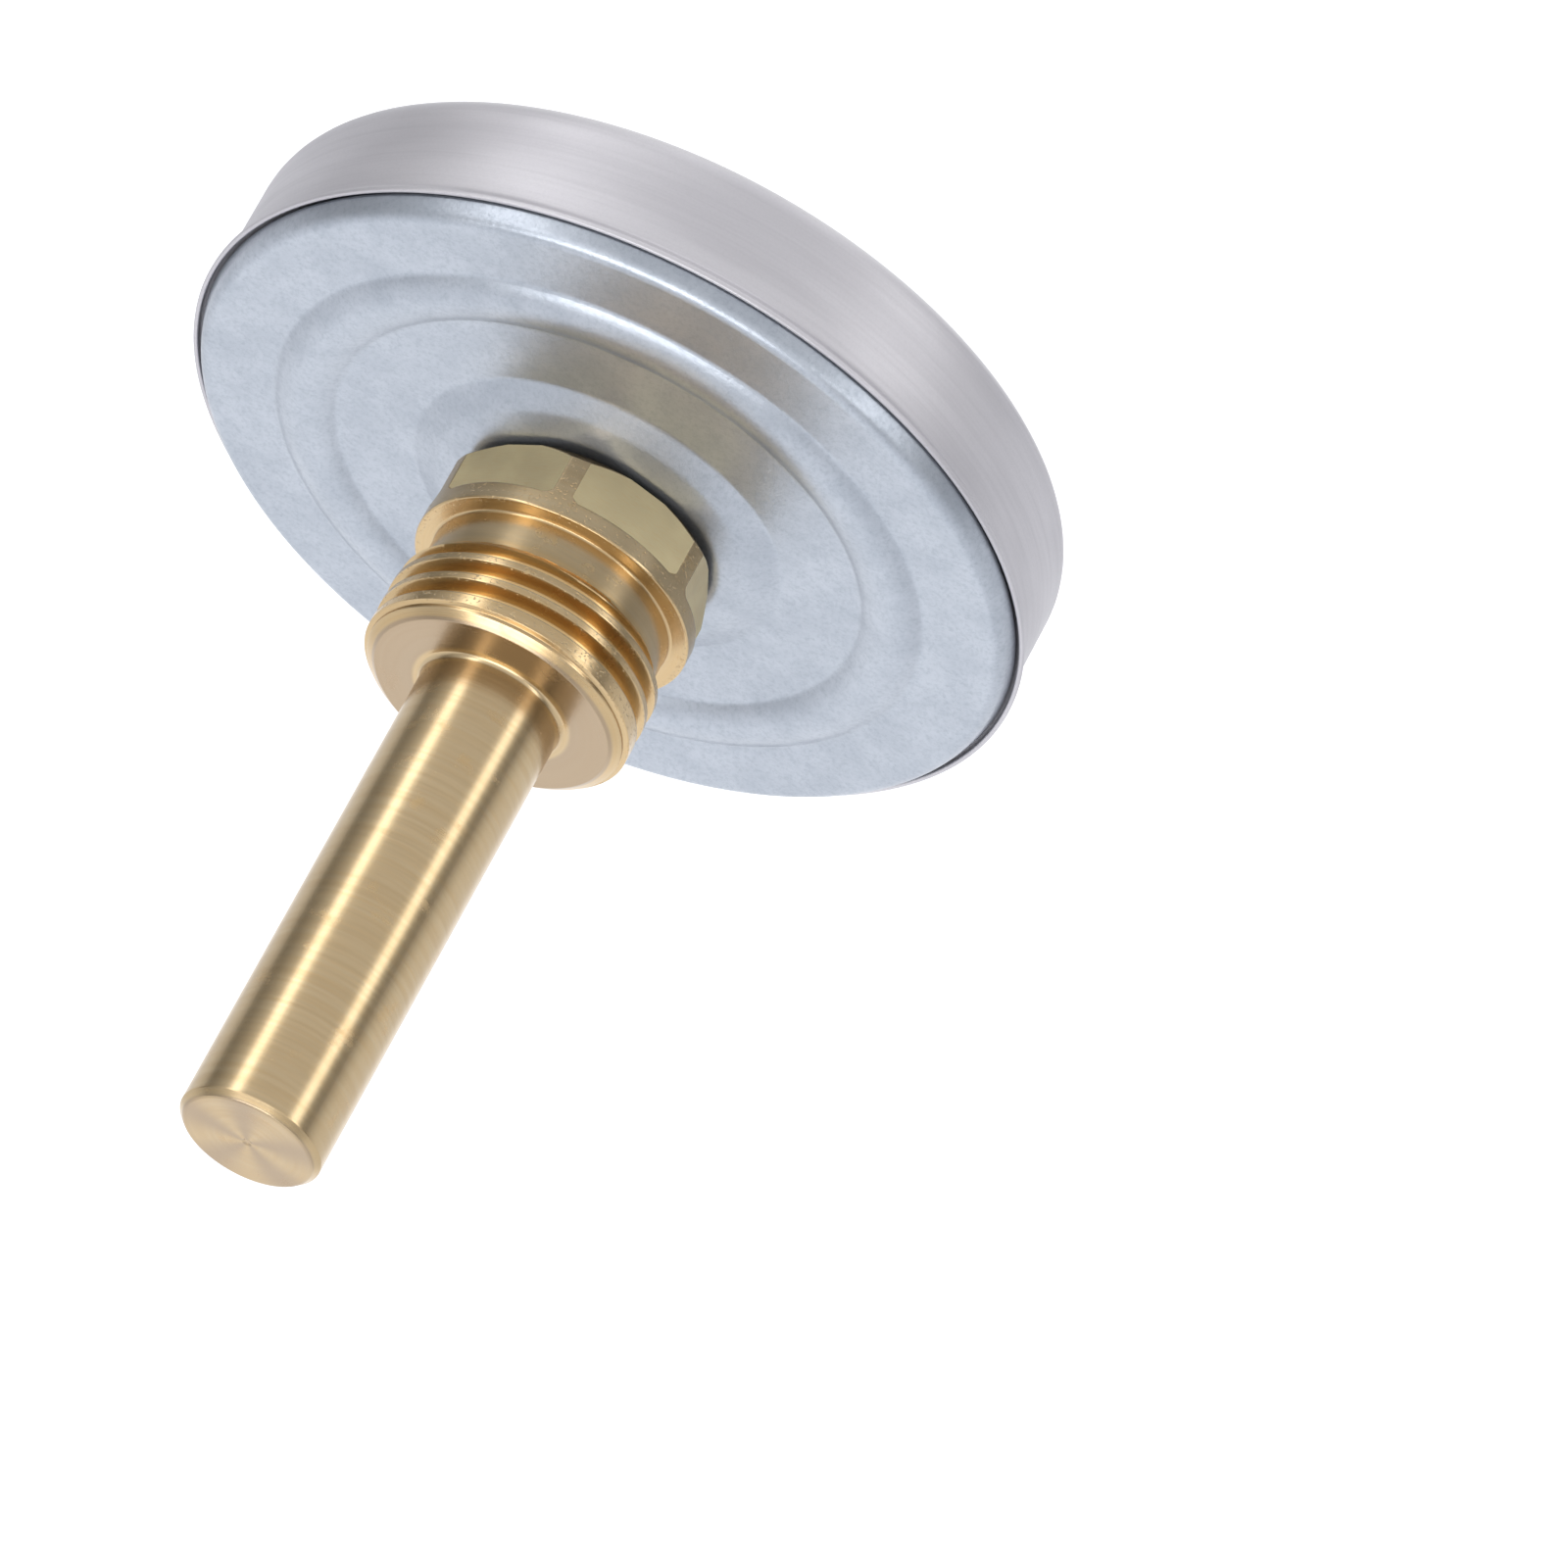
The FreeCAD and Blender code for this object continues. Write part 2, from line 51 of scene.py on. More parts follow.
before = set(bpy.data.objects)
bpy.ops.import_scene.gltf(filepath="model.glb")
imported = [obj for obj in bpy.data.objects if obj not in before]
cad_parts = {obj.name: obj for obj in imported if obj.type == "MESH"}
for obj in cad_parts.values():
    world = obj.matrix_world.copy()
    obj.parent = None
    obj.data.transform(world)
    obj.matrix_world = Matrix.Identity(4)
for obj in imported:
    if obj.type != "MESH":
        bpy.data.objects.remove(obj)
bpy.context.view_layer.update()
MM = 0.001
HEAD_LENGTH = 6.0
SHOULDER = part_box("thermowell")[0].y / MM + HEAD_LENGTH
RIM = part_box("case_shell")[1].x / MM
DIAL_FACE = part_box("dial_plate")[0].y / MM - SHOULDER
PITCH = 1.814
CREST = 10.4775

# Stations in millimetres from the shoulder, with the dial's side negative
CASE_FRONT = -19.6
BEZEL_BACK = -19.0
GLASS_FRONT, GLASS_BACK = -18.47, -16.93
RING_FRONT, RING_BACK = -16.88, -14.33
DIAL_BACK = -13.8
FLARE_START, FLARE_END, CASE_BACK = -10.4, -9.75, -9.4
PLATE_FLAT = -8.0
BORE_MOUTH, BORE_END = -0.8, 49.0
GROOVE_FOOT = 1.9
SHANK_END = 10.3

# Radii in millimetres
BORE, MOUTH = 4.1, 5.6
RELIEF = 9.4
ROOT = 9.32
SEAT = 31.4
SKIRT = 31.85

# Turns of the thread's groove, and the angle in degrees over which it deepens and runs off
GROOVE_TURNS = 3
RUN_OUT = 14


# ---------------------------------------------------------------- node graphs

class Value:
    """A socket in a node graph. Arithmetic on it adds the Math nodes for it."""

    def __init__(self, graph, socket):
        self.graph = graph
        self.socket = socket

    def math(self, operation, *operands):
        """One Math node with these operands, which are values or numbers."""
        return self.graph.node("ShaderNodeMath", {"operation": operation}, dict(enumerate(operands)))

    def __add__(self, other):
        return self.math("ADD", self, other)

    def __sub__(self, other):
        return self.math("SUBTRACT", self, other)

    def __rsub__(self, other):
        return self.math("SUBTRACT", other, self)

    def __mul__(self, other):
        return self.math("MULTIPLY", self, other)

    def __truediv__(self, other):
        return self.math("DIVIDE", self, other)

    def __mod__(self, other):
        return self.math("FLOORED_MODULO", self, other)

    def __pow__(self, other):
        return self.math("POWER", self, other)

    __radd__ = __add__
    __rmul__ = __mul__

    def most(self, other):
        """The larger of the value and the other."""
        return self.math("MAXIMUM", self, other)

    def wave(self):
        """The sine of the value in radians."""
        return self.math("SINE", self)

    def turn(self, other):
        """The angle, in radians, of the direction that has this value across and the other along."""
        return self.math("ARCTAN2", self, other)

    def is_about(self, other):
        """1 where the value is within a half of the other, and 0 elsewhere."""
        return self.graph.node(
            "ShaderNodeMath", {"operation": "COMPARE"}, {0: self, 1: other, 2: 0.5})

    def rise(self, low, high):
        """0 below low, 1 above high and a smooth step between; it falls where low is the larger."""
        return self.graph.node(
            "ShaderNodeMapRange", {"interpolation_type": "SMOOTHSTEP"},
            {"Value": self, "From Min": low, "From Max": high})


class Graph:
    """A node tree that is filled with one method."""

    def __init__(self, tree):
        self.tree = tree

    def node(self, kind, settings=None, inputs=None, output=0):
        """Adds a node with its settings and inputs, and gives back one of its outputs."""
        made = self.tree.nodes.new(kind)
        for key, value in (settings or {}).items():
            setattr(made, key, value)
        for key, value in (inputs or {}).items():
            if isinstance(value, Value):
                self.tree.links.new(value.socket, made.inputs[key])
            else:
                made.inputs[key].default_value = value
        return Value(self, made.outputs[output]) if made.outputs else None

    def combine(self, x, y, z):
        """A vector from three values or numbers."""
        return self.node("ShaderNodeCombineXYZ", {}, {0: x, 1: y, 2: z})


class Finish(Graph):
    """A material on one Principled surface, with its pattern in millimetres round the stem's axis."""

    def __init__(self, name, **constants):
        self.material = bpy.data.materials.new(name)
        self.material.use_nodes = True
        super().__init__(self.material.node_tree)
        self.tree.nodes.clear()
        self.surface = self.tree.nodes.new("ShaderNodeBsdfPrincipled")
        for key, value in constants.items():
            self.surface.inputs[key.replace("_", " ").title().replace("Ior", "IOR")].default_value = value
        target = self.tree.nodes.new("ShaderNodeOutputMaterial")
        self.tree.links.new(self.surface.outputs[0], target.inputs["Surface"])
        point = self.node("ShaderNodeTexCoord", output="Object")
        self.place = self.node("ShaderNodeVectorMath", {"operation": "SCALE"}, {0: point, "Scale": 1 / MM})
        parts = self.tree.nodes.new("ShaderNodeSeparateXYZ")
        self.tree.links.new(self.place.socket, parts.inputs[0])
        self.x, self.y, self.z = (Value(self, socket) for socket in parts.outputs)
        self.station = self.y - SHOULDER
        self.radius = (self.x * self.x + self.z * self.z) ** 0.5

    def noise(self, scale, detail=2.0, roughness=0.5, stretch=(1, 1, 1)):
        """Plain noise, with scale features in a millimetre."""
        place = self.place
        if stretch != (1, 1, 1):
            place = self.node("ShaderNodeVectorMath", {"operation": "MULTIPLY"}, {0: place, 1: stretch})
        return self.node(
            "ShaderNodeTexNoise", {"noise_dimensions": "3D"},
            {"Vector": place, "Scale": scale, "Detail": detail, "Roughness": roughness})

    def turning(self, scale, around=1.0, detail=2.0, roughness=0.5):
        """Noise drawn out round the axis, as a lathe tool leaves it: scale features in a millimetre."""
        reach = self.radius.most(0.05)
        place = self.combine(self.x / reach * around, self.radius * scale, self.z / reach * around)
        return self.node(
            "ShaderNodeTexNoise", {"noise_dimensions": "4D"},
            {"Vector": place, "W": self.y * scale, "Scale": 1.0, "Detail": detail, "Roughness": roughness})

    def mix(self, share, first, second):
        """The first colour where share is 0 and the second where it is 1."""
        first = first if isinstance(first, Value) else (*first, 1.0)
        second = second if isinstance(second, Value) else (*second, 1.0)
        return self.node(
            "ShaderNodeMix", {"data_type": "RGBA", "clamp_factor": True},
            {0: share, 6: first, 7: second}, output=2)

    def bump(self, height, depth, strength=1.0, under=None):
        """Height from 0 to 1, standing depth millimetres high."""
        inputs = {"Height": height, "Distance": depth * MM, "Strength": strength}
        if under:
            inputs["Normal"] = under
        return self.node("ShaderNodeBump", {}, inputs)

    def wear(self, **sockets):
        """Links what varies over the surface to the Principled node."""
        for key, value in sockets.items():
            self.tree.links.new(value.socket, self.surface.inputs[key.replace("_", " ").title()])
        return self.material


def paint(red, green, blue):
    """A colour given as on a colour card, 0 to 255, in scene values."""
    shares = (red / 255, green / 255, blue / 255)
    return tuple((v / 12.92 if v <= 0.04045 else ((v + 0.055) / 1.055) ** 2.4) for v in shares)


# ---------------------------------------------------------------- finishes

def brass(name, light, middle, deep, face, rough=0.2, marks=1.0):
    """Turned brass: tool marks round the axis, painted shade in the thread's roots and on the faced ends,
    painted highlight wedges on the tip, faint stains and bright edges.
    """
    f = Finish(name, metallic=1.0)
    fine = f.turning(9.0, 1.4, 2.0, 0.6)
    broad = f.turning(2.4, 0.5, 3.0, 0.6)
    drift = f.noise(0.16, 2.0)
    stain = f.noise(0.45, 3.0, 0.6).rise(0.57, 0.74)
    # Painted shade: the thread's roots are mixed towards the deep colour; everything beyond 8 mm radius is
    # also a touch deeper.
    root = f.radius.rise(10.15, 9.5) * f.station.rise(2.2, 3.2) * f.station.rise(9.6, 9.0)
    shank = f.radius.rise(6.5, 8.0)
    colour = f.mix(broad.rise(0.3, 0.7) * 0.6, middle, light)
    colour = f.mix(fine.rise(0.35, 0.75) * 0.14 * marks, colour, deep)
    colour = f.mix(drift.rise(0.35, 0.7) * 0.3, colour, middle)
    colour = f.mix(stain * 0.16, colour, deep)
    colour = f.mix(shank * 0.1 + root * 0.3, colour, deep)
    # Painted shade and highlight: the faced ends are darkened towards the end-face colour, and the tip is
    # darkened in radial wedges that stand for its glints.
    painted_highlight_wedges = (f.x.turn(f.z) * 5.0 + drift * 3.0).wave() * 0.5 + 0.5
    shaded_end_face = f.station.rise(10.05, 10.2) * f.station.rise(10.75, 10.6) * f.radius.rise(6.0, 6.4)
    tip = f.station.rise(50.75, 50.95)
    colour = f.mix(shaded_end_face * 0.75, colour, face)
    colour = f.mix(tip * (painted_highlight_wedges * 0.5 + 0.3), colour, face)
    nicks = f.noise(3.2, 2.0, 0.6).rise(0.6, 0.68) * f.radius.rise(10.3, 10.42)
    tone = rough + fine * (0.08 * marks) + stain * 0.07
    normal = f.bump(fine, 0.003 * marks)
    normal = f.bump(nicks, -0.03, 1.0, normal)
    return f.wear(base_color=colour, roughness=tone, normal=normal)


def milled_brass(name, light, middle, deep):
    """The wrench flats: paler and duller than the turned faces, with short milling marks."""
    f = Finish(name, metallic=1.0)
    grain = f.noise(1.0, 3.0, 0.65, (1.2, 14, 1.2))
    cloud = f.noise(0.35, 2.0)
    colour = f.mix(cloud.rise(0.3, 0.7) * 0.25, light, middle)
    colour = f.mix(grain.rise(0.45, 0.75) * 0.2, colour, deep)
    return f.wear(base_color=colour, roughness=0.36 + grain * 0.16, normal=f.bump(grain, 0.008))


def satin_steel(name, light, dark, pale):
    """The case: streaks drawn round its wall, and a fine shot grain on its front face."""
    f = Finish(name, metallic=0.85)
    streak = f.turning(2.6, 1.6, 3.0, 0.6)
    patch = f.turning(0.25, 2.2, 2.0)
    grain = f.noise(5.5, 3.0, 0.7)
    front = f.station.rise(-18.2, -19.2)
    scuff = f.noise(0.9, 3.0, 0.65, (1, 2.2, 1)).rise(0.62, 0.72)
    colour = f.mix(patch.rise(0.3, 0.7) * 0.4, light, dark)
    colour = f.mix(streak.rise(0.4, 0.8) * 0.3 * (1 - front), colour, dark)
    colour = f.mix(grain.rise(0.4, 0.7) * (0.12 + front * 0.14), colour, dark)
    colour = f.mix(scuff * 0.1, colour, light)
    colour = f.mix(front * 0.5, colour, pale)
    tone = 0.4 + streak * 0.1 + grain * 0.1 + front * 0.06
    normal = f.bump(streak, 0.003)
    normal = f.bump(grain, 0.004, 1.0, normal)
    return f.wear(base_color=colour, roughness=tone, normal=normal)


def zinc(name, light, dark):
    """The back plate: a bluish plating with a fine grain, faint spangle and small scuffs."""
    f = Finish(name, metallic=0.85)
    grain = f.noise(2.8, 3.0, 0.75)
    spangle = f.noise(1.3, 3.0, 0.7)
    cloud = f.noise(0.3, 3.0, 0.6)
    rub = f.noise(1.1, 3.0, 0.6, (1, 1, 3)).rise(0.66, 0.74)
    colour = f.mix(cloud.rise(0.3, 0.7) * 0.3, light, dark)
    colour = f.mix(grain.rise(0.4, 0.75) * 0.45, colour, dark)
    colour = f.mix(spangle.rise(0.5, 0.8) * 0.2, colour, light)
    colour = f.mix(rub * 0.25, colour, light)
    tone = 0.26 + grain * 0.12 + cloud * 0.04
    return f.wear(base_color=colour, roughness=tone, normal=f.bump(grain, 0.02))


def enamel(name, white, shade):
    """The dial: white enamel with a soft fall of shade at its edge."""
    f = Finish(name, coat_weight=0.15, coat_roughness=0.3)
    peel = f.noise(1.6, 2.0)
    speck = f.noise(2.2, 1.0).rise(0.78, 0.84)
    edge = f.radius.rise(24.5, 28.0)
    colour = f.mix(edge * 0.22 + peel * 0.05, white, shade)
    colour = f.mix(speck * 0.06, colour, shade)
    return f.wear(base_color=colour, roughness=0.4 + peel * 0.12, normal=f.bump(peel, 0.004))


def plastic(name, light, dark):
    """Moulded matt plastic."""
    f = Finish(name)
    grain = f.noise(4.0, 3.0, 0.65)
    colour = f.mix(grain.rise(0.3, 0.8) * 0.4, light, dark)
    return f.wear(base_color=colour, roughness=0.5 + grain * 0.15, normal=f.bump(grain, 0.01))


def lacquer(name, black, worn, rough=0.42):
    """Black lacquer on sheet metal, a little greyer along its raised grain."""
    f = Finish(name)
    grain = f.noise(7.0, 3.0, 0.7)
    cloud = f.noise(0.5, 2.0)
    colour = f.mix(grain.rise(0.55, 0.8) * 0.5 + cloud * 0.15, black, worn)
    return f.wear(base_color=colour, roughness=rough + grain * 0.14, normal=f.bump(grain, 0.008))


def plain_metal(name, light, dark, rough=0.3):
    """Drawn, rolled or turned metal of the small inner pieces."""
    f = Finish(name, metallic=1.0)
    fine = f.turning(7.0, 1.2, 2.0, 0.6)
    cloud = f.noise(0.5, 2.0)
    colour = f.mix(fine.rise(0.3, 0.8) * 0.5, light, dark)
    colour = f.mix(cloud.rise(0.4, 0.8) * 0.3, colour, dark)
    return f.wear(base_color=colour, roughness=rough + fine * 0.14, normal=f.bump(fine, 0.006))


def hub_finish(name, silver, mauve):
    """The hub: a bright turned rim round a duller dished face with rings left by the tool."""
    f = Finish(name, metallic=0.9)
    rings = (f.radius * 21.0).wave() * 0.5 + 0.5
    fine = f.turning(12.0, 1.0, 2.0)
    dish = f.radius.rise(2.26, 2.18) * f.radius.rise(0.28, 0.36)
    colour = f.mix(dish, silver, mauve)
    colour = f.mix(rings * 0.22 * dish + fine * 0.1, colour, silver)
    return f.wear(base_color=colour, roughness=0.3 + fine * 0.12 + dish * 0.1,
                  normal=f.bump(rings * dish + fine * 0.3, 0.01))


def clear_glass(name, tint):
    """Window glass: seen through from the front, with more gloss at a slant and a greener edge."""
    f = Finish(name, specular_ior_level=0.5)
    slant = f.node("ShaderNodeLayerWeight", {}, {"Blend": 0.25}, output="Facing")
    haze = f.noise(0.12, 2.0)
    rim = f.radius.rise(31.0, 31.35)
    alpha = 0.025 + slant * 0.2 + rim * 0.4
    return f.wear(base_color=f.mix(haze * 0.3, tint, (0, 0, 0)), roughness=0.02 + haze * 0.03, alpha=alpha)


# ---------------------------------------------------------------- mesh making

def arc_steps(rounding):
    """How many steps a corner with this rounding, in millimetres, is drawn in."""
    return 3 if rounding < 0.3 else 5 if rounding < 0.9 else 9


def run_out(corners, columns=1, closed=True, hold=0.06):
    """Rows of (radius, station) from corners of (radius, station, rounding). A corner's radius or
    station may differ from column to column. A held row stands by each end of every straight run,
    so that the shading of the run stays flat."""
    points = [np.array([np.broadcast_to(v, columns) for v in corner[:2]], float) for corner in corners]
    count = len(points)
    bends = []
    for i, (point, corner) in enumerate(zip(points, corners)):
        rounding = corner[2]
        if rounding == 0 or (not closed and i in (0, count - 1)):
            bends.append([point])
            continue
        back, ahead = points[i - 1] - point, points[(i + 1) % count] - point
        long_back = np.maximum(np.hypot(*back), 1e-9)
        long_ahead = np.maximum(np.hypot(*ahead), 1e-9)
        back, ahead = back / long_back, ahead / long_ahead
        half = np.arccos(np.clip((back * ahead).sum(0), -1, 1)) / 2
        room = 0.45 * np.minimum(long_back, long_ahead)
        tangent = np.minimum(rounding / np.maximum(np.tan(half), 1e-6), room)
        first, last, pull = point + back * tangent, point + ahead * tangent, np.sin(half)
        bend = []
        for u in np.linspace(0, 1, arc_steps(rounding) + 1):
            a, b, c = (1 - u) ** 2, 2 * u * (1 - u) * pull, u * u
            bend.append((a * first + b * point + c * last) / (a + b + c))
        bends.append(bend)
    rows = []
    for i, bend in enumerate(bends):
        rows += bend
        if closed or i + 1 < count:
            start, end = bend[-1], bends[(i + 1) % count][0]
            length = np.maximum(np.hypot(*(end - start)), 1e-9)
            step = (end - start) / length * np.minimum(hold, 0.3 * length)
            rows += [start + step, end - step]
    return np.array(rows)


def tidy_mesh(mesh, sharp=32):
    """Welds coincident points, turns the faces outwards and shades the surface smooth up to its edges."""
    bm = bmesh.new()
    bm.from_mesh(mesh)
    bmesh.ops.remove_doubles(bm, verts=bm.verts, dist=1e-6)
    bmesh.ops.dissolve_degenerate(bm, edges=bm.edges, dist=1e-7)
    if bm.calc_volume(signed=True) < 0:
        bmesh.ops.reverse_faces(bm, faces=bm.faces)
    bm.to_mesh(mesh)
    bm.free()
    mesh.shade_smooth()
    mesh.set_sharp_from_angle(angle=radians(sharp))
    mesh.update()


def revolve(name, rows, angles=None, closed=True, sharp=32):
    """A mesh turned round the stem's axis from rows of (radius, station). Angles run from twelve
    o'clock towards three o'clock, and the last column joins the first."""
    if angles is None:
        angles = np.linspace(0, 2 * pi, 257)
    rows = np.broadcast_to(rows, (rows.shape[0], 2, len(angles)))
    radius, station = rows[:, 0, :], rows[:, 1, :]
    points = np.stack([radius * np.sin(angles), station + SHOULDER, radius * np.cos(angles)], -1) * MM
    count, width = radius.shape
    grid = np.arange(count * width).reshape(count, width)
    if closed:
        grid = np.vstack([grid, grid[:1]])
    faces = np.stack([grid[:-1, :-1], grid[:-1, 1:], grid[1:, 1:], grid[1:, :-1]], -1).reshape(-1, 4)
    mesh = bpy.data.meshes.new(name)
    mesh.from_pydata(points.reshape(-1, 3).tolist(), [], faces.tolist())
    tidy_mesh(mesh, sharp)
    return mesh


def prism(bm, near, far, front, back, loop=False):
    """A flat stroke between two lines of (x, z) points, from station front to station back."""
    lines = []
    for station in (front, back):
        for line in (near, far):
            lines.append([bm.verts.new((x * MM, (station + SHOULDER) * MM, z * MM)) for x, z in line])
    a, b, c, d = lines
    count = len(a)
    for i in range(count if loop else count - 1):
        j = (i + 1) % count
        for quad in ((a[i], a[j], b[j], b[i]), (c[i], d[i], d[j], c[j]),
                     (a[i], c[i], c[j], a[j]), (b[i], b[j], d[j], d[i])):
            bm.faces.new(quad)
    if not loop:
        bm.faces.new((a[0], b[0], d[0], c[0]))
        bm.faces.new((a[-1], c[-1], d[-1], b[-1]))


def as_piece(name, mesh, slot, body, finishes, *nodes):
    """Puts a finished mesh in the scene: its finish, the nodes it stands for and its body; the slot argument
    is not used.
    """
    piece = bpy.data.objects.new(name, mesh)
    bpy.context.scene.collection.objects.link(piece)
    mesh.materials.clear()
    for finish in finishes:
        mesh.materials.append(bpy.data.materials[finish])
    if nodes:
        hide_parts(*nodes)
    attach(piece, body)
    return piece


def cut_away(mesh, cutter, sharp=32):
    """Cuts one mesh out of another and gives back the plain result."""
    target = bpy.data.objects.new("blank", mesh)
    tool = bpy.data.objects.new("cutter", cutter)
    for item in (target, tool):
        bpy.context.scene.collection.objects.link(item)
    cut = target.modifiers.new("cut", "BOOLEAN")
    cut.operation = "DIFFERENCE"
    cut.solver = "EXACT"
    cut.object = tool
    result = bpy.data.meshes.new_from_object(target.evaluated_get(bpy.context.evaluated_depsgraph_get()))
    if len(result.vertices) < 8:
        raise RuntimeError(f"{mesh.name}: nothing is left after the cut")
    for item in (target, tool):
        bpy.data.objects.remove(item)
    tidy_mesh(result, sharp)
    return result


def grow(name, tree, inputs):
    """The plain mesh that a Geometry Nodes tree makes from the named inputs."""
    seed = bpy.data.objects.new(name, bpy.data.meshes.new(name))
    bpy.context.scene.collection.objects.link(seed)
    maker = seed.modifiers.new("maker", "NODES")
    maker.node_group = tree
    sockets = {item.name: item.identifier for item in tree.interface.items_tree if item.in_out == "INPUT"}
    for key, value in inputs.items():
        maker[sockets[key]] = value
    mesh = bpy.data.meshes.new_from_object(seed.evaluated_get(bpy.context.evaluated_depsgraph_get()))
    if not mesh.vertices:
        raise RuntimeError(f"{name}: the nodes made no mesh")
    bpy.data.objects.remove(seed)
    mesh.name = name
    return mesh


def new_nodes(name, inputs):
    """A Geometry Nodes graph with those named inputs, each as (socket type, default), and its sockets."""
    tree = bpy.data.node_groups.new(name, "GeometryNodeTree")
    tree.interface.new_socket("Geometry", in_out="OUTPUT", socket_type="NodeSocketGeometry")
    for key, (kind, default) in inputs.items():
        socket = tree.interface.new_socket(key, in_out="INPUT", socket_type=f"NodeSocket{kind}")
        if default is not None:
            socket.default_value = default
    graph = Graph(tree)
    source = tree.nodes.new("NodeGroupInput")
    return graph, {key: Value(graph, source.outputs[key]) for key in inputs}


def close_nodes(graph, shapes, finish):
    """Ends a tree: joins its shapes, makes instances real and sets the finish."""
    join = graph.tree.nodes.new("GeometryNodeJoinGeometry")
    for shape in shapes:
        graph.tree.links.new(shape.socket, join.inputs[0])
    real = graph.node("GeometryNodeRealizeInstances", {}, {0: Value(graph, join.outputs[0])})
    done = graph.node("GeometryNodeSetMaterial", {}, {"Geometry": real, "Material": finish})
    target = graph.tree.nodes.new("NodeGroupOutput")
    graph.tree.links.new(done.socket, target.inputs[0])


# ---------------------------------------------------------------- shapes of the pieces

def flat_distance(angles, s):
    """How far the six-sided head reaches at each angle, and how far round from its flat's middle."""
    turn = (np.degrees(angles) - s.flat_angle + 30) % 60 - 30
    reach = s.flats / np.cos(np.radians(turn))
    soft = 0.03
    near = np.maximum(soft - np.abs(reach - s.head), 0) / soft
    return np.minimum(reach, s.head) - near ** 2 * soft / 4, s.flats * np.tan(np.radians(turn))


def thread_rows(angles, s):
    """Rows across the thread. They climb with it, so each crest edge runs along one row."""
    behind = s.flat_angle + 90 - np.degrees(angles)
    across = [0, 0.11, 0.2, 0.27, 0.32, 0.42, 0.52, 0.57, 0.6, 0.63, 0.67, 0.73]
    across = [-PITCH / 2] + [-v for v in across[:0:-1]] + across
    rows = []
    for turn in range(4, -2, -1):
        middle = s.first_groove - PITCH * (behind / 360 + turn)
        cut_in = np.clip((behind + 360 * turn) / RUN_OUT, 0, 1)
        run_off = np.clip((360 * GROOVE_TURNS - behind - 360 * turn) / RUN_OUT, 0, 1)
        depth = cut_in ** 2 * (3 - 2 * cut_in) * run_off ** 2 * (3 - 2 * run_off)
        for offset in across:
            station = np.clip(middle + offset, 2.0, 9.2)
            real = np.abs(station - middle)
            hollow, flank = ROOT + 0.18 * (real / 0.31) ** 2, 9.5 + 3.085 * (real - 0.31)
            groove = np.where(real < 0.31, hollow, flank) + (1 - depth) * 1.7
            body = np.clip(RELIEF + station - 3.0, RELIEF, CREST)
            near = np.maximum(0.06 - np.abs(groove - body), 0) / 0.06
            rows.append(np.array([np.minimum(groove, body) - near ** 2 * 0.06 / 4, station]))
    return np.array(rows)


def thermowell_mesh(s):
    """The thermowell: its bore, six-sided head, threaded shank and closed pocket tube, as one mesh."""
    start = radians(s.flat_angle - 180)
    even = np.linspace(0, 2 * pi, 241)
    edges = [radians(60 * k + 30 + side * (30 - s.flat_half) + step)
             for k in range(6) for side in (-1, 1) for step in (-0.8, -0.3, 0.0, 0.3, 0.8)]
    angles = np.unique(np.round(np.concatenate([even, edges]), 6)) + start
    wide = len(angles)
    reach, across = flat_distance(angles, s)
    corner = 0.9
    past = np.maximum(np.abs(across) - 4.0, 0)
    lower = s.flat_end - np.maximum(corner - np.sqrt(np.maximum(corner ** 2 - past ** 2, 0)), 0)
    rim = s.head - 1.0
    bore = run_out([(0, BORE_END, 0), (BORE, BORE_END, 0.3), (BORE, BORE_MOUTH, 0.1),
                    (MOUTH, BORE_MOUTH, 0.1), (MOUTH, -HEAD_LENGTH + 0.5, 0)], wide, closed=False)
    head = run_out([(MOUTH, -HEAD_LENGTH + 0.4, 0), (MOUTH, -HEAD_LENGTH, 0.2),
                    (np.minimum(reach, rim), -HEAD_LENGTH, 0.12),
                    (reach, np.maximum(reach - rim, 0) - HEAD_LENGTH, 0.12),
                    (reach, lower, 0.1), (s.head, lower, 0.14),
                    (s.head, 0, 0.14), (RELIEF, 0, 0.2), (RELIEF, GROOVE_FOOT, 0)], wide, closed=False)
    thread = thread_rows(angles, s)
    shank = run_out([(CREST, 9.25, 0), (CREST, 9.35, 0.05),
                     (CREST - 0.4, 9.483, 0.05), (CREST - 0.4, 9.75, 0.06),
                     (9.25, SHANK_END, 0.12), (s.tube, SHANK_END, 0.4), (s.tube, s.depth - 0.55, 0.1),
                     (s.tube - 0.45, s.depth - 0.06, 0.1), (s.tube - 0.62, s.depth, 0.1),
                     (0.42, s.depth, 0.1), (0.24, s.depth - 0.08, 0.06), (0, s.depth - 0.08, 0)],
                    wide, closed=False)
    mesh = revolve("thermowell_blank", np.concatenate([bore, head, thread, shank]), angles, closed=False)
    drill = run_out([(0, 4.5, 0), (s.screw_hole, 4.5, 0), (s.screw_hole, 12, 0), (0, 12, 0)], closed=False)
    hole = revolve("hole_blank", drill, np.linspace(0, 2 * pi, 49), closed=False)
    hole.transform(along_screw(s))
    return cut_away(mesh, hole)


def along_screw(s):
    """Turns a mesh that was made along the stem's axis so that it lies along the set screw's."""
    outwards = radians(s.flat_angle + 180)
    lift = Matrix.Translation((0, (SHOULDER + s.screw_station) * MM, 0))
    swing = Matrix.Rotation(outwards, 4, "Y") @ Matrix.Rotation(radians(90), 4, "X")
    return lift @ swing @ Matrix.Translation((0, -SHOULDER * MM, 0))


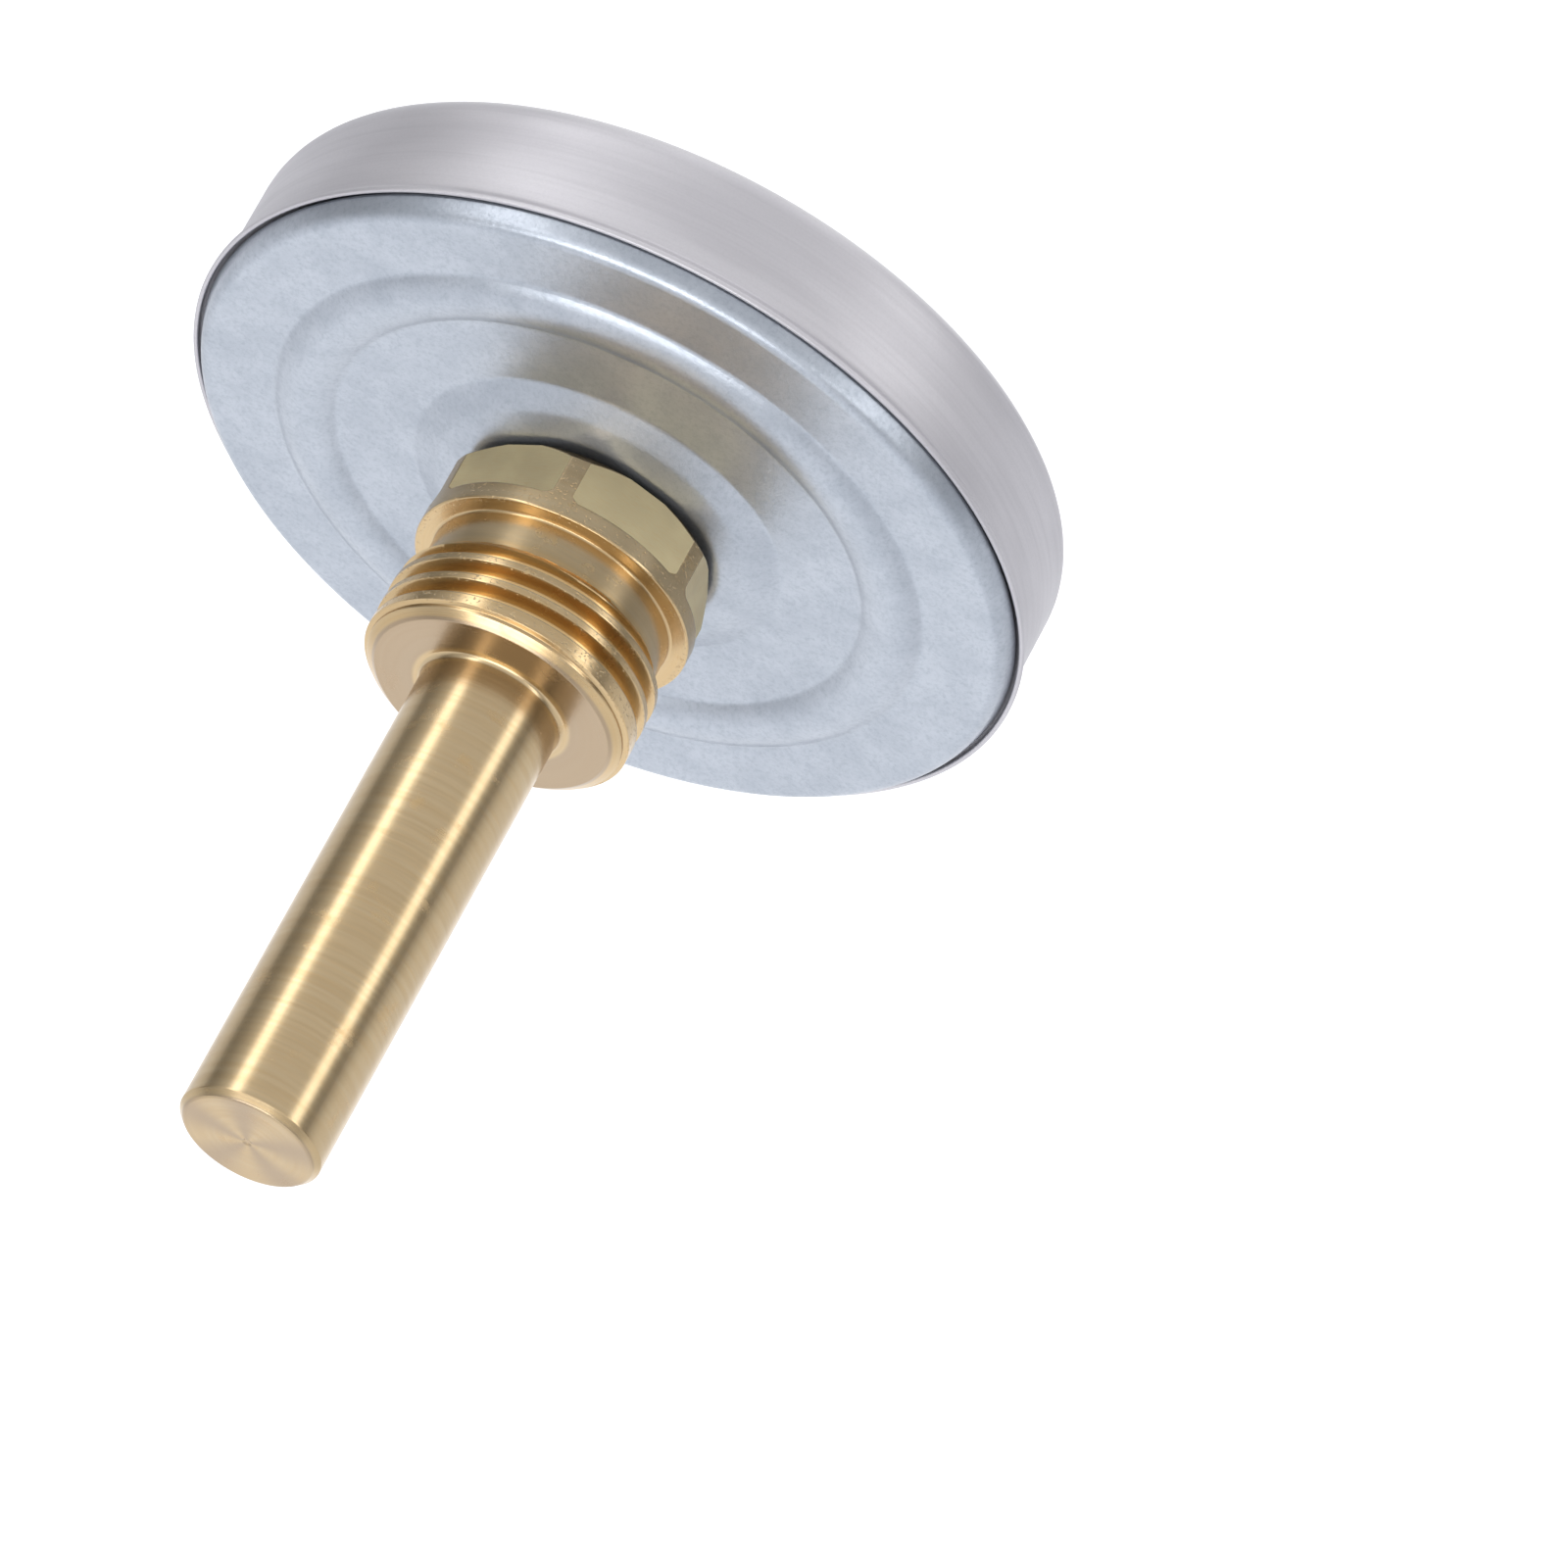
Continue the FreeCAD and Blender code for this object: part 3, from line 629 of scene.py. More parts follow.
def back_plate_rows(s):
    """The back plate's section: a boss with a sloped edge, a round bead and a turned-in rim."""
    fine = np.arange(5.0, 31.0, 0.02)
    top = np.interp(fine, [0, 10.4, s.boss, s.boss_foot, 40], [-6.4, -6.5, -7.05, PLATE_FLAT, PLATE_FLAT])
    half, bulge = (s.bead_out - s.bead_in) / 2, 3.9
    centre = (s.bead_out + s.bead_in) / 2
    dome = np.sqrt(np.maximum(bulge ** 2 - (fine - centre) ** 2, 0)) - np.sqrt(bulge ** 2 - half ** 2)
    top = top + np.maximum(dome, 0)
    window = np.exp(-0.5 * (np.arange(-50, 51) * 0.02 / 0.16) ** 2)
    padded = np.concatenate([np.full(50, top[0]), top, np.full(50, top[-1])])
    top = np.convolve(padded, window / window.sum(), "valid")
    radii = np.concatenate([[6.2, 6.5, 9], np.arange(10.0, 15.6, 0.14), [16, 18, 20],
                            np.arange(20.2, 26.6, 0.14), [27, 30.2]])
    outer = [(r, float(np.interp(r, fine, top)), 0) for r in radii]
    inner = [(r, float(np.interp(r, fine, top)) - 0.7, 0) for r in radii[::-2]]
    sheet = 0.7
    rim = [(SKIRT, PLATE_FLAT, 1.1), (SKIRT + 0.6, -9.6, 0.25), (SKIRT, -10.3, 0.1), (SKIRT, DIAL_BACK, 0.1),
           (SKIRT - sheet, DIAL_BACK, 0.1), (SKIRT - sheet, PLATE_FLAT - sheet, 1.3)]
    return run_out(outer + rim + inner, hold=0.03)


def pointer_edge(s):
    """The right-hand edge of the pointer, blade up, as (x, z) points from the tip to the tail's end: a
    slim blade, a disc and a tail with hollow sides."""
    root = (s.disc ** 2 - s.blade_half ** 2) ** 0.5
    neck = -(s.disc ** 2 - s.neck ** 2) ** 0.5
    edge = [(s.tip_half * 0.3, s.reach), (s.tip_half, s.reach - 0.3), (s.blade_half, root)]
    ends = np.arctan2([s.blade_half, s.neck], [root, neck])
    edge += [(s.disc * sin(a), s.disc * cos(a)) for a in np.linspace(*ends, 24)[1:]]
    foot, heel = edge[-1], (s.heel, -11.3)
    for u in np.linspace(0, 1, 14)[1:]:
        hollow = 1.6 * u * (1 - u)
        edge.append((foot[0] + (heel[0] - foot[0]) * u - hollow, foot[1] + (heel[1] - foot[1]) * u))
    edge += [(s.heel - 0.02, -11.42), (s.heel - 0.16, -11.52)]
    edge += [(x, -(s.tail ** 2 - x ** 2) ** 0.5) for x in np.linspace(s.heel - 0.4, 0.05, 7)]
    return edge


def sheet_mesh(name, edge, front, back, ease):
    """A thin sheet piece, the same on both sides of its middle line, with its front edges eased."""
    bm = bmesh.new()
    points = np.array(edge)
    along = np.gradient(points, axis=0)
    along = along / np.maximum(np.linalg.norm(along, axis=1, keepdims=True), 1e-9)
    inwards = np.stack([along[:, 1], -along[:, 0]], -1)
    rails = []
    for inset, station in ((0, back), (0, front + ease), (ease * 0.35, front + ease * 0.3), (ease, front)):
        line = points + inwards * inset
        line[:, 0] = np.maximum(line[:, 0], 0.02)
        for side in (1, -1):
            height = (station + SHOULDER) * MM
            rails.append([bm.verts.new((side * x * MM, height, z * MM)) for x, z in line])
    ways = [(0, 2), (2, 4), (4, 6), (6, 7), (7, 5), (5, 3), (3, 1), (1, 0)]
    for low, high in ways:
        a, b = rails[low], rails[high]
        for i in range(len(points) - 1):
            bm.faces.new((a[i], a[i + 1], b[i + 1], b[i]))
    bm.faces.new([rails[k][0] for k in (0, 2, 4, 6, 7, 5, 3, 1)])
    bm.faces.new([rails[k][-1] for k in (1, 3, 5, 7, 6, 4, 2, 0)])
    mesh = bpy.data.meshes.new(name)
    bm.to_mesh(mesh)
    bm.free()
    tidy_mesh(mesh, 40)
    return mesh


def bow(cx, cz, wide, high, start, end, steps=10):
    """Points on an oval arc. Angles are in degrees from the right-hand side, rising to the top."""
    angles = np.radians(np.linspace(start, end, steps))
    return [(cx + wide * cos(a), cz + high * sin(a)) for a in angles]


def glyph(name):
    """The middle lines of one figure's strokes, for a figure 1.27 wide and 3.1 high between line
    middles, as (points, is a closed loop)."""
    w, low, high = 0.635, 0.235, 3.335
    figures = {
        "0": [(bow(0, high - w, w, w, 0, 180) + bow(0, low + w, w, w, 180, 360), True)],
        "1": [([(0.22, 3.57), (0.22, 0)], False), ([(-0.47, 2.66), (0.12, 3.27)], False)],
        "2": [(bow(0, high - w, w, w, 195, -28, 14)
               + [(0.36, 1.95), (-0.6, low + 0.03), (0.72, low)], False)],
        "4": [([(0.04, 3.57), (-0.66, 0.95), (0.95, 0.95)], False), ([(0.36, 2.0), (0.36, 0)], False)],
        "6": [(bow(0, 1.4, w, w, 0, 180) + bow(0, low + w, w, w, 180, 360), True),
              ([(-0.58, 1.55), (-0.42, 2.0), (0.36, 3.57)], False)],
        "8": [(bow(0, 2.72, 0.57, 0.615, 0, 180) + bow(0, 2.5, 0.57, 0.6, 180, 360), True),
              (bow(0, 1.26, w, 0.63, 0, 180) + bow(0, low + w, w, w, 180, 360), True)],
        "C": [(bow(0, high - w + 0.07, w, w, 12, 180) + bow(0, low + w - 0.07, w, w, 180, 348), False)],
        "o": [(bow(0, 0, 0.36, 0.36, 0, 345, 24), True)],
    }
    return figures[name]


def draw_stroke(bm, line, loop, half, front, back):
    """One stroke of even width along a line, with mitred bends and square ends."""
    points = np.array(line)
    if loop:
        keep = np.linalg.norm(points - np.roll(points, 1, 0), axis=1) > 1e-6
        points = points[keep]
    ahead = np.roll(points, -1, 0) - points
    ahead = ahead / np.maximum(np.linalg.norm(ahead, axis=1, keepdims=True), 1e-9)
    behind = np.roll(ahead, 1, 0)
    if not loop:
        ahead[-1] = behind[-1]
        behind[0] = ahead[0]
    middle = ahead + behind
    middle = middle / np.maximum(np.linalg.norm(middle, axis=1, keepdims=True), 1e-9)
    side = np.stack([-middle[:, 1], middle[:, 0]], -1)
    stretch = 1 / np.maximum((middle * ahead).sum(1, keepdims=True), 0.55)
    prism(bm, points + side * half * stretch, points - side * half * stretch, front, back, loop)


# ---------------------------------------------------------------- sizes and colours

def length(name, text, default, low=0.0):
    """A length given in millimetres and kept in metres."""
    return bpy.props.FloatProperty(
        name=name, description=text, default=default * MM, min=low * MM, unit="LENGTH", precision=5)


def place(name, text, default):
    """A place in millimetres from the shoulder, kept in metres."""
    return bpy.props.FloatProperty(
        name=name, description=text, default=default * MM, unit="LENGTH", precision=5)


def angle(name, text, degrees):
    """An angle given in degrees and kept in radians."""
    return bpy.props.FloatProperty(name=name, description=text, default=radians(degrees), subtype="ANGLE")


def brightness(name, text, default):
    """The brightness of a light, which is never below nothing."""
    return bpy.props.FloatProperty(name=name, description=text, default=default, min=0.0)


def colour(name, text, *card):
    """A colour given as on a colour card."""
    return bpy.props.FloatVectorProperty(
        name=name, description=text, default=paint(*card), subtype="COLOR", min=0.0, max=1.0)


class ThermowellSizes(bpy.types.PropertyGroup):
    """Sizes of the thermowell and its set screw."""
    head: length("Head radius", "Radius of the six-sided head over its corners", 10.87)
    flats: length("Flat distance", "Distance of a wrench flat from the axis", 9.75)
    flat_end: place("Flat end", "Where the wrench flats end, from the shoulder", -1.5)
    flat_angle: angle("Flat angle", "Angle of the first flat from twelve o'clock", 28.5)
    flat_half: angle("Flat half angle", "Angle from a flat's middle to its side edge", 26.25)
    first_groove: length("First groove", "Middle of the thread's first groove, from the shoulder", 8.38)
    tube: length("Tube radius", "Radius of the pocket tube", 5.5)
    depth: length("Depth", "Length from the shoulder to the closed tip", 51.0)
    screw_hole: length("Screw hole radius", "Radius of the set screw's hole", 1.55)
    screw: length("Screw radius", "Radius of the set screw", 1.5)
    screw_station: place("Screw place", "Where the set screw sits, from the shoulder", -3.7)


class CaseSizes(bpy.types.PropertyGroup):
    """Sizes of the case, its back plate and its window."""
    rim: length("Rim radius", "Outermost radius of the case's rear lip", RIM)
    wall: length("Wall radius", "Outer radius of the case wall", 32.5)
    opening: length("Opening radius", "Radius of the bezel's opening", 27.9)
    boss: length("Boss radius", "Radius where the back plate's boss begins to slope", 12.4)
    boss_foot: length("Boss foot", "Radius where the boss meets the plate", 14.65)
    bead_in: length("Bead inside", "Inner radius of the round bead", 20.9)
    bead_out: length("Bead outside", "Outer radius of the round bead", 25.8)


class DialSizes(bpy.types.PropertyGroup):
    """Sizes of the scale printed on the dial."""
    outer: length("Scale radius", "Outer radius of the scale's ticks", 26.1)
    minor: length("Small tick", "Length of the small ticks", 3.0)
    medium: length("Middle tick", "Length of the middle ticks", 3.9)
    block: length("Block", "Length of the thick block under a numbered tick", 3.0)
    thin: length("Tick width", "Width of the ticks", 0.34)
    thick: length("Block width", "Width of the thick blocks", 0.79)
    divisions: bpy.props.IntProperty(
        name="Divisions", description="Number of spaces between the ticks", default=60, min=10)
    sweep: angle("Sweep", "Angle from the first tick to the last", 270)
    stroke: length("Stroke", "Width of the figures' strokes", 0.47)


class PointerSizes(bpy.types.PropertyGroup):
    """Sizes of the pointer and its hub."""
    reach: length("Reach", "Length of the blade from the axis", 23.35)
    blade_half: length("Blade half width", "Half the blade's width at the disc", 0.62)
    tip_half: length("Tip half width", "Half the blade's width at its tip", 0.3)
    disc: length("Disc radius", "Radius of the pointer's disc", 3.07)
    neck: length("Neck", "Half the tail's width where it leaves the disc", 1.05)
    heel: length("Tail half width", "Half the tail's width at its end", 2.7)
    tail: length("Tail radius", "Radius of the tail's end from the axis", 11.75)
    hub: length("Hub radius", "Radius of the hub", 2.62)
    reading: angle("Reading", "The pointer's angle from twelve o'clock at rest", -79.875)


class FinishColours(bpy.types.PropertyGroup):
    """Colours of the finishes."""
    brass_light: colour("Brass, bright", "Freshly turned brass", 203, 184, 150)
    brass: colour("Brass", "Turned brass", 190, 167, 130)
    # Besides the tool marks and stains, this colour paints shade into the thread's roots.
    brass_deep: colour("Brass, deep", "Brass in the thread's roots and tool marks", 218, 172, 100)
    # Painted shade: a darker brass for the faced ends and the tip, darkened for how the light falls on them.
    shaded_end_face: colour("End faces", "Faced brass of the shank's end and the tip", 160, 142, 122)
    flats: colour("Wrench flats", "Milled brass of the flats", 228, 210, 164)
    steel: colour("Case", "Satin steel of the case", 202, 200, 204)
    steel_dark: colour("Case, dark", "Darker streaks of the case", 172, 170, 175)
    bezel: colour("Bezel", "Matt front of the case", 240, 239, 238)
    zinc: colour("Back plate", "Zinc plating of the back plate", 178, 184, 193)
    zinc_dark: colour("Back plate, dark", "Darker grain of the plating", 140, 148, 159)
    dial: colour("Dial", "Enamel of the dial", 246, 248, 252)
    dial_shade: colour("Dial shade", "Shaded enamel at the dial's edge", 224, 230, 240)
    ink: colour("Ink", "Ink of the scale", 34, 35, 37)


class StageSizes(bpy.types.PropertyGroup):
    """The stage: its floor, lights and camera."""
    floor: bpy.props.FloatProperty(
        name="Floor", description="Height of the floor under the stem's axis", default=-0.30, unit="LENGTH")
    strips: brightness("Strip lights", "Brightness of the two strip lights", 2.4)
    panel: brightness("Panel light", "Brightness of the large panel", 4.0)
    sky: brightness("Room light", "Brightness of the room", 1.0)
    lens: bpy.props.FloatProperty(
        name="Lens", description="Focal length of the camera in millimetres", default=302.6, min=1.0)


GROUPS = {
    "thermowell_sizes": ThermowellSizes,
    "case_sizes": CaseSizes,
    "dial_sizes": DialSizes,
    "pointer_sizes": PointerSizes,
    "finish_colours": FinishColours,
    "stage_sizes": StageSizes,
}


def sizes_of(context, group):
    """A group's lengths in millimetres, its angles in degrees and everything else as it is."""
    source = getattr(context.scene, group)
    found = SimpleNamespace()
    for key, item in source.bl_rna.properties.items():
        if key in ("rna_type", "name"):
            continue
        value = getattr(source, key)
        if item.type == "FLOAT" and item.unit == "LENGTH":
            value = value / MM
        elif item.type == "FLOAT" and item.subtype == "ANGLE":
            value = value * 180 / pi
        setattr(found, key, tuple(value) if getattr(item, "is_array", False) else value)
    return found


# ---------------------------------------------------------------- operators

class MakeFinishes(bpy.types.Operator):
    """Make every finish and give it to the inner pieces that keep their shape"""
    bl_idname = "thermometer.make_finishes"
    bl_label = "Finishes"

    def execute(self, context):
        c = sizes_of(context, "finish_colours")
        brass("turned_brass", c.brass_light, c.brass, c.brass_deep, c.shaded_end_face)
        brass("turned_socket", c.brass_light, c.brass, c.brass_deep, c.shaded_end_face, 0.28)
        brass("turned_bush", c.brass_light, c.brass, c.brass_deep, c.shaded_end_face, 0.3)
        milled_brass("milled_brass", c.flats, c.brass, c.brass_deep)
        satin_steel("satin_steel", c.steel, c.steel_dark, c.bezel)
        zinc("zinc_plate", c.zinc, c.zinc_dark)
        enamel("dial_enamel", c.dial, c.dial_shade)
        plastic("white_plastic", paint(240, 244, 250), paint(222, 228, 238))
        plastic("black_rubber", paint(44, 44, 46), paint(26, 26, 27))
        lacquer("dial_ink", c.ink, paint(66, 67, 70), 0.5)
        lacquer("pointer_lacquer", paint(34, 34, 37), paint(58, 58, 62))
        lacquer("screw_black", paint(62, 62, 66), paint(112, 110, 108), 0.36)
        plain_metal("drawn_steel", paint(208, 208, 210), paint(170, 170, 173), 0.24)
        plain_metal("bimetal_strip", paint(188, 180, 172), paint(150, 142, 134))
        plain_metal("ground_steel", paint(200, 200, 202), paint(160, 160, 163), 0.2)
        hub_finish("turned_hub", paint(232, 230, 232), paint(176, 166, 168))
        clear_glass("clear_glass", paint(70, 84, 84))
        kept = {
            "window_gasket": "black_rubber",
            "coil_anchor": "turned_bush",
            "coil_collar": "turned_bush",
            "guide_bush_upper": "turned_bush",
            "guide_bush_lower": "turned_bush",
            "pointer_bush": "turned_bush",
            "spindle": "ground_steel",
        }
        for node, finish in kept.items():
            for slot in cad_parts[node].material_slots:
                slot.material = bpy.data.materials[finish]
        return {"FINISHED"}


class MakeThermowell(bpy.types.Operator):
    """Make the thermowell with its six-sided head, pipe thread and pocket tube"""
    bl_idname = "thermometer.make_thermowell"
    bl_label = "Thermowell"

    def execute(self, context):
        s = sizes_of(context, "thermowell_sizes")
        mesh = thermowell_mesh(s)
        piece = as_piece("thermowell_body", mesh, "well_brass", "thermowell",
                         ("turned_brass", "milled_brass"), "thermowell")
        for face in piece.data.polygons:
            turn = np.degrees(np.arctan2(face.center.x, face.center.z)) - s.flat_angle
            middle = radians(s.flat_angle + 60 * round(turn / 60))
            facing = face.normal.x * sin(middle) + face.normal.z * cos(middle)
            on_head = face.center.y / MM - SHOULDER < s.flat_end
            outside = (face.center.x ** 2 + face.center.z ** 2) ** 0.5 > 9 * MM
            face.material_index = 1 if on_head and outside and facing > 0.9995 else 0
        return {"FINISHED"}


class MakeSetScrew(bpy.types.Operator):
    """Make the slotted set screw in the thermowell's head"""
    bl_idname = "thermometer.make_set_screw"
    bl_label = "Set screw"

    def execute(self, context):
        s = sizes_of(context, "thermowell_sizes")
        rows = run_out([(0, 5.6, 0), (0.9, 6.2, 0.1), (s.screw, 6.5, 0.15), (s.screw, 9.3, 0.12),
                        (0, 9.3, 0)], closed=False)
        blank = revolve("screw_blank", rows, np.linspace(0, 2 * pi, 65), closed=False)
        slot = bmesh.new()
        bmesh.ops.create_cube(slot, size=1.0, matrix=Matrix.Translation((0, (9.4 + SHOULDER) * MM, 0))
                              @ Matrix.Diagonal((0.5 * MM, 1.8 * MM, 4 * MM, 1)))
        cutter = bpy.data.meshes.new("slot_blank")
        slot.to_mesh(cutter)
        slot.free()
        mesh = cut_away(blank, cutter)
        mesh.transform(along_screw(s))
        as_piece("set_screw_body", mesh, "screw_steel", "set_screw", ("screw_black",), "set_screw")
        return {"FINISHED"}


class MakeCase(bpy.types.Operator):
    """Make the case with its front bezel and flared rear lip"""
    bl_idname = "thermometer.make_case"
    bl_label = "Case"

    def execute(self, context):
        s = sizes_of(context, "case_sizes")
        inside = s.wall - 0.6
        rows = run_out([
            (s.opening, CASE_FRONT, 0.22), (s.wall, CASE_FRONT, 1.9), (s.wall, FLARE_START, 0.6),
            (s.rim, FLARE_END, 0.22), (s.rim, CASE_BACK, 0.12), (s.rim - 0.35, CASE_BACK, 0.12),
            (s.rim - 0.4, CASE_BACK - 0.4, 0.2), (inside, FLARE_START, 0.4),
            (inside, BEZEL_BACK, 1.3), (s.opening, BEZEL_BACK, 0.15)])
        mesh = revolve("case_body", rows)
        as_piece("case_body", mesh, "case_steel", "head", ("satin_steel",), "case_shell")
        return {"FINISHED"}


class MakeBackPlate(bpy.types.Operator):
    """Make the pressed back plate with its boss and bead"""
    bl_idname = "thermometer.make_back_plate"
    bl_label = "Back plate"

    def execute(self, context):
        mesh = revolve("back_plate_body", back_plate_rows(sizes_of(context, "case_sizes")), sharp=50)
        as_piece("back_plate_body", mesh, "plate_zinc", "head", ("zinc_plate",), "back_plate")
        return {"FINISHED"}


class MakeWindow(bpy.types.Operator):
    """Make the window glass and the white ring that holds it off the dial"""
    bl_idname = "thermometer.make_window"
    bl_label = "Window"

    def execute(self, context):
        glass = run_out([(0, GLASS_FRONT, 0), (SEAT, GLASS_FRONT, 0.25), (SEAT, GLASS_BACK, 0.25),
                         (0, GLASS_BACK, 0)], closed=False)
        as_piece("window_pane", revolve("window_pane", glass, closed=False), "window_glass", "head",
                 ("clear_glass",), "window_glass")
        inside = 26.6
        ring = run_out([(inside + 0.4, RING_FRONT, 0.12), (SEAT, RING_FRONT, 0.15), (SEAT, RING_BACK, 0.15),
                        (inside, RING_BACK, 0.1), (inside, RING_FRONT + 0.38, 0.12)])
        as_piece("spacer_body", revolve("spacer_body", ring), "spacer_plastic", "head",
                 ("white_plastic",), "spacer_ring")
        return {"FINISHED"}


class MakeDial(bpy.types.Operator):
    """Make the dial plate with its printed scale, figures and class mark"""
    bl_idname = "thermometer.make_dial"
    bl_label = "Dial"

    def execute(self, context):
        s = sizes_of(context, "dial_sizes")
        plate = run_out([(2.0, DIAL_FACE, 0.06), (31.2, DIAL_FACE, 0.06), (31.2, DIAL_BACK, 0.06),
                         (2.0, DIAL_BACK, 0.06)])
        as_piece("dial_plate_body", revolve("dial_plate_body", plate), "dial_white", "head",
                 ("dial_enamel",), "dial_plate")
        ink = bpy.data.materials["dial_ink"]
        mesh = grow("scale_ticks", self.tick_nodes(ink), {
            "Divisions": s.divisions, "Sweep": radians(s.sweep), "Scale Radius": s.outer * MM,
            "Small Tick": s.minor * MM, "Middle Tick": s.medium * MM, "Block": s.block * MM,
            "Tick Width": s.thin * MM, "Block Width": s.thick * MM,
            "Station": (DIAL_FACE + SHOULDER - 0.01) * MM, "Thickness": 0.03 * MM})
        as_piece("scale_ticks", mesh, "pointer_black", "head", ("dial_ink",))
        as_piece("scale_figures", self.figures(s), "pointer_black", "head", ("dial_ink",))
        as_piece("class_mark", self.class_mark(context), "pointer_black", "head", ("dial_ink",))
        return {"FINISHED"}

    def tick_nodes(self, ink):
        """Ticks round the dial: every fifth is longer or carries a thick block."""
        g, i = new_nodes("scale_tick_nodes", {
            "Divisions": ("Int", 60), "Sweep": ("Float", radians(270)), "Scale Radius": ("Float", 0.0261),
            "Small Tick": ("Float", 0.003), "Middle Tick": ("Float", 0.0039), "Block": ("Float", 0.003),
            "Tick Width": ("Float", 0.00034), "Block Width": ("Float", 0.00079),
            "Station": ("Float", 0.0), "Thickness": ("Float", 0.00003)})
        points = g.node("GeometryNodeMeshLine", {}, {"Count": i["Divisions"] + 1, "Offset": (0, 0, 0)})
        number = g.node("GeometryNodeInputIndex")
        angle = number * (i["Sweep"] / i["Divisions"]) - i["Sweep"] / 2
        turn = g.combine(0.0, angle, 0.0)
        out, up = angle.wave(), angle.math("COSINE", angle)
        tick = g.node("GeometryNodeMeshCube", {}, {"Size": (1, 1, 1)})
        middle_tick = (number % 10).is_about(5)
        numbered = (number % 10).is_about(0)
        shapes = []
        for width, long, reach, chosen in (
                (i["Tick Width"], i["Small Tick"] + (i["Middle Tick"] - i["Small Tick"]) * middle_tick,
                 i["Scale Radius"], None),
                (i["Block Width"], i["Block"], i["Scale Radius"] - i["Small Tick"] + 0.00002, numbered)):
            centre = reach - long / 2
            spot = g.combine(out * centre, i["Station"], up * centre)
            placed = g.node("GeometryNodeSetPosition", {}, {"Geometry": points, "Position": spot})
            inputs = {"Points": placed, "Instance": tick, "Rotation": turn,
                      "Scale": g.combine(width, i["Thickness"], long)}
            if chosen:
                inputs["Selection"] = chosen
            shapes.append(g.node("GeometryNodeInstanceOnPoints", {}, inputs))
        close_nodes(g, shapes, ink)
        return g.tree

    def figures(self, s):
        """The numbers and the degree sign, drawn with one width of stroke."""
        bm = bmesh.new()
        front, back = DIAL_FACE - 0.025, DIAL_FACE + 0.01
        step = 1.74 + 0.62
        words = [("60", 0, 17.5), ("40", -12.5, 12.0), ("80", 12.05, 11.85), ("20", -17.3, 0),
                 ("100", 16.1, 0), ("0", -12.7, -12.0), ("120", 12.3, -11.55), ("C", -0.55, -16.95)]
        for word, x, z in words:
            for place, name in enumerate(word):
                centre = x + (place - (len(word) - 1) / 2) * step
                for depth, (line, loop) in enumerate(glyph(name)):
                    moved = [(centre + px, z - 1.785 + pz) for px, pz in line]
                    draw_stroke(bm, moved, loop, s.stroke / 2, front - depth * 0.002, back)
        ring = [(-1.98 + px, -15.72 + pz) for px, pz in glyph("o")[0][0]]
        draw_stroke(bm, ring, True, 0.14, front, back)
        mesh = bpy.data.meshes.new("scale_figures")
        bmesh.ops.recalc_face_normals(bm, faces=bm.faces)
        bm.to_mesh(mesh)
        bm.free()
        return mesh

    def class_mark(self, context):
        """The accuracy class, in a plain upright face."""
        text = bpy.data.curves.new("class_text", "FONT")
        text.body = "class 2.0"
        text.align_x = "CENTER"
        text.extrude = 0.004
        text.space_character = 1.04
        text.offset = 0.012
        writer = bpy.data.objects.new("class_writer", text)
        context.scene.collection.objects.link(writer)
        mesh = bpy.data.meshes.new_from_object(writer.evaluated_get(context.evaluated_depsgraph_get()))
        bpy.data.objects.remove(writer)
        xs = [v.co.x for v in mesh.vertices]
        ys = [v.co.y for v in mesh.vertices]
        across, down = (max(xs) - min(xs)) / (9.4 * MM), (max(ys) - min(ys)) / (2.0 * MM)
        mesh.transform(Matrix.Diagonal((1 / across, 1 / down, 0.02 * MM / 0.008, 1)))
        mesh.transform(Matrix.Rotation(radians(90), 4, "X"))
        mesh.transform(Matrix.Translation((11.65 * MM, (DIAL_FACE + SHOULDER - 0.01) * MM, -19.85 * MM)))
        tidy_mesh(mesh, 30)
        return mesh


class MakePointer(bpy.types.Operator):
    """Make the black pointer and the metal hub on it"""
    bl_idname = "thermometer.make_pointer"
    bl_label = "Pointer"

    def execute(self, context):
        s = sizes_of(context, "pointer_sizes")
        mesh = sheet_mesh("pointer_body", pointer_edge(s), -15.6, -15.3, 0.07)
        mesh.transform(Matrix.Rotation(radians(s.reading), 4, "Y"))
        as_piece("pointer_body", mesh, "pointer_black", "pointer", ("pointer_lacquer",), "pointer")
        rows = run_out([
            (0, -15.6, 0), (s.hub, -15.6, 0.05), (s.hub, -16.6, 0.14), (2.3, -16.6, 0.1),
            (2.16, -16.25, 0.08), (0.52, -16.25, 0.06), (0.44, -16.4, 0.08), (0.26, -16.42, 0.06),
            (0.16, -16.3, 0.06), (0, -16.3, 0)], closed=False)
        mesh = revolve("hub_body", rows, np.linspace(0, 2 * pi, 97), closed=False)
        as_piece("hub_body", mesh, "hub_metal", "pointer", ("turned_hub",), "pointer_hub")
        return {"FINISHED"}


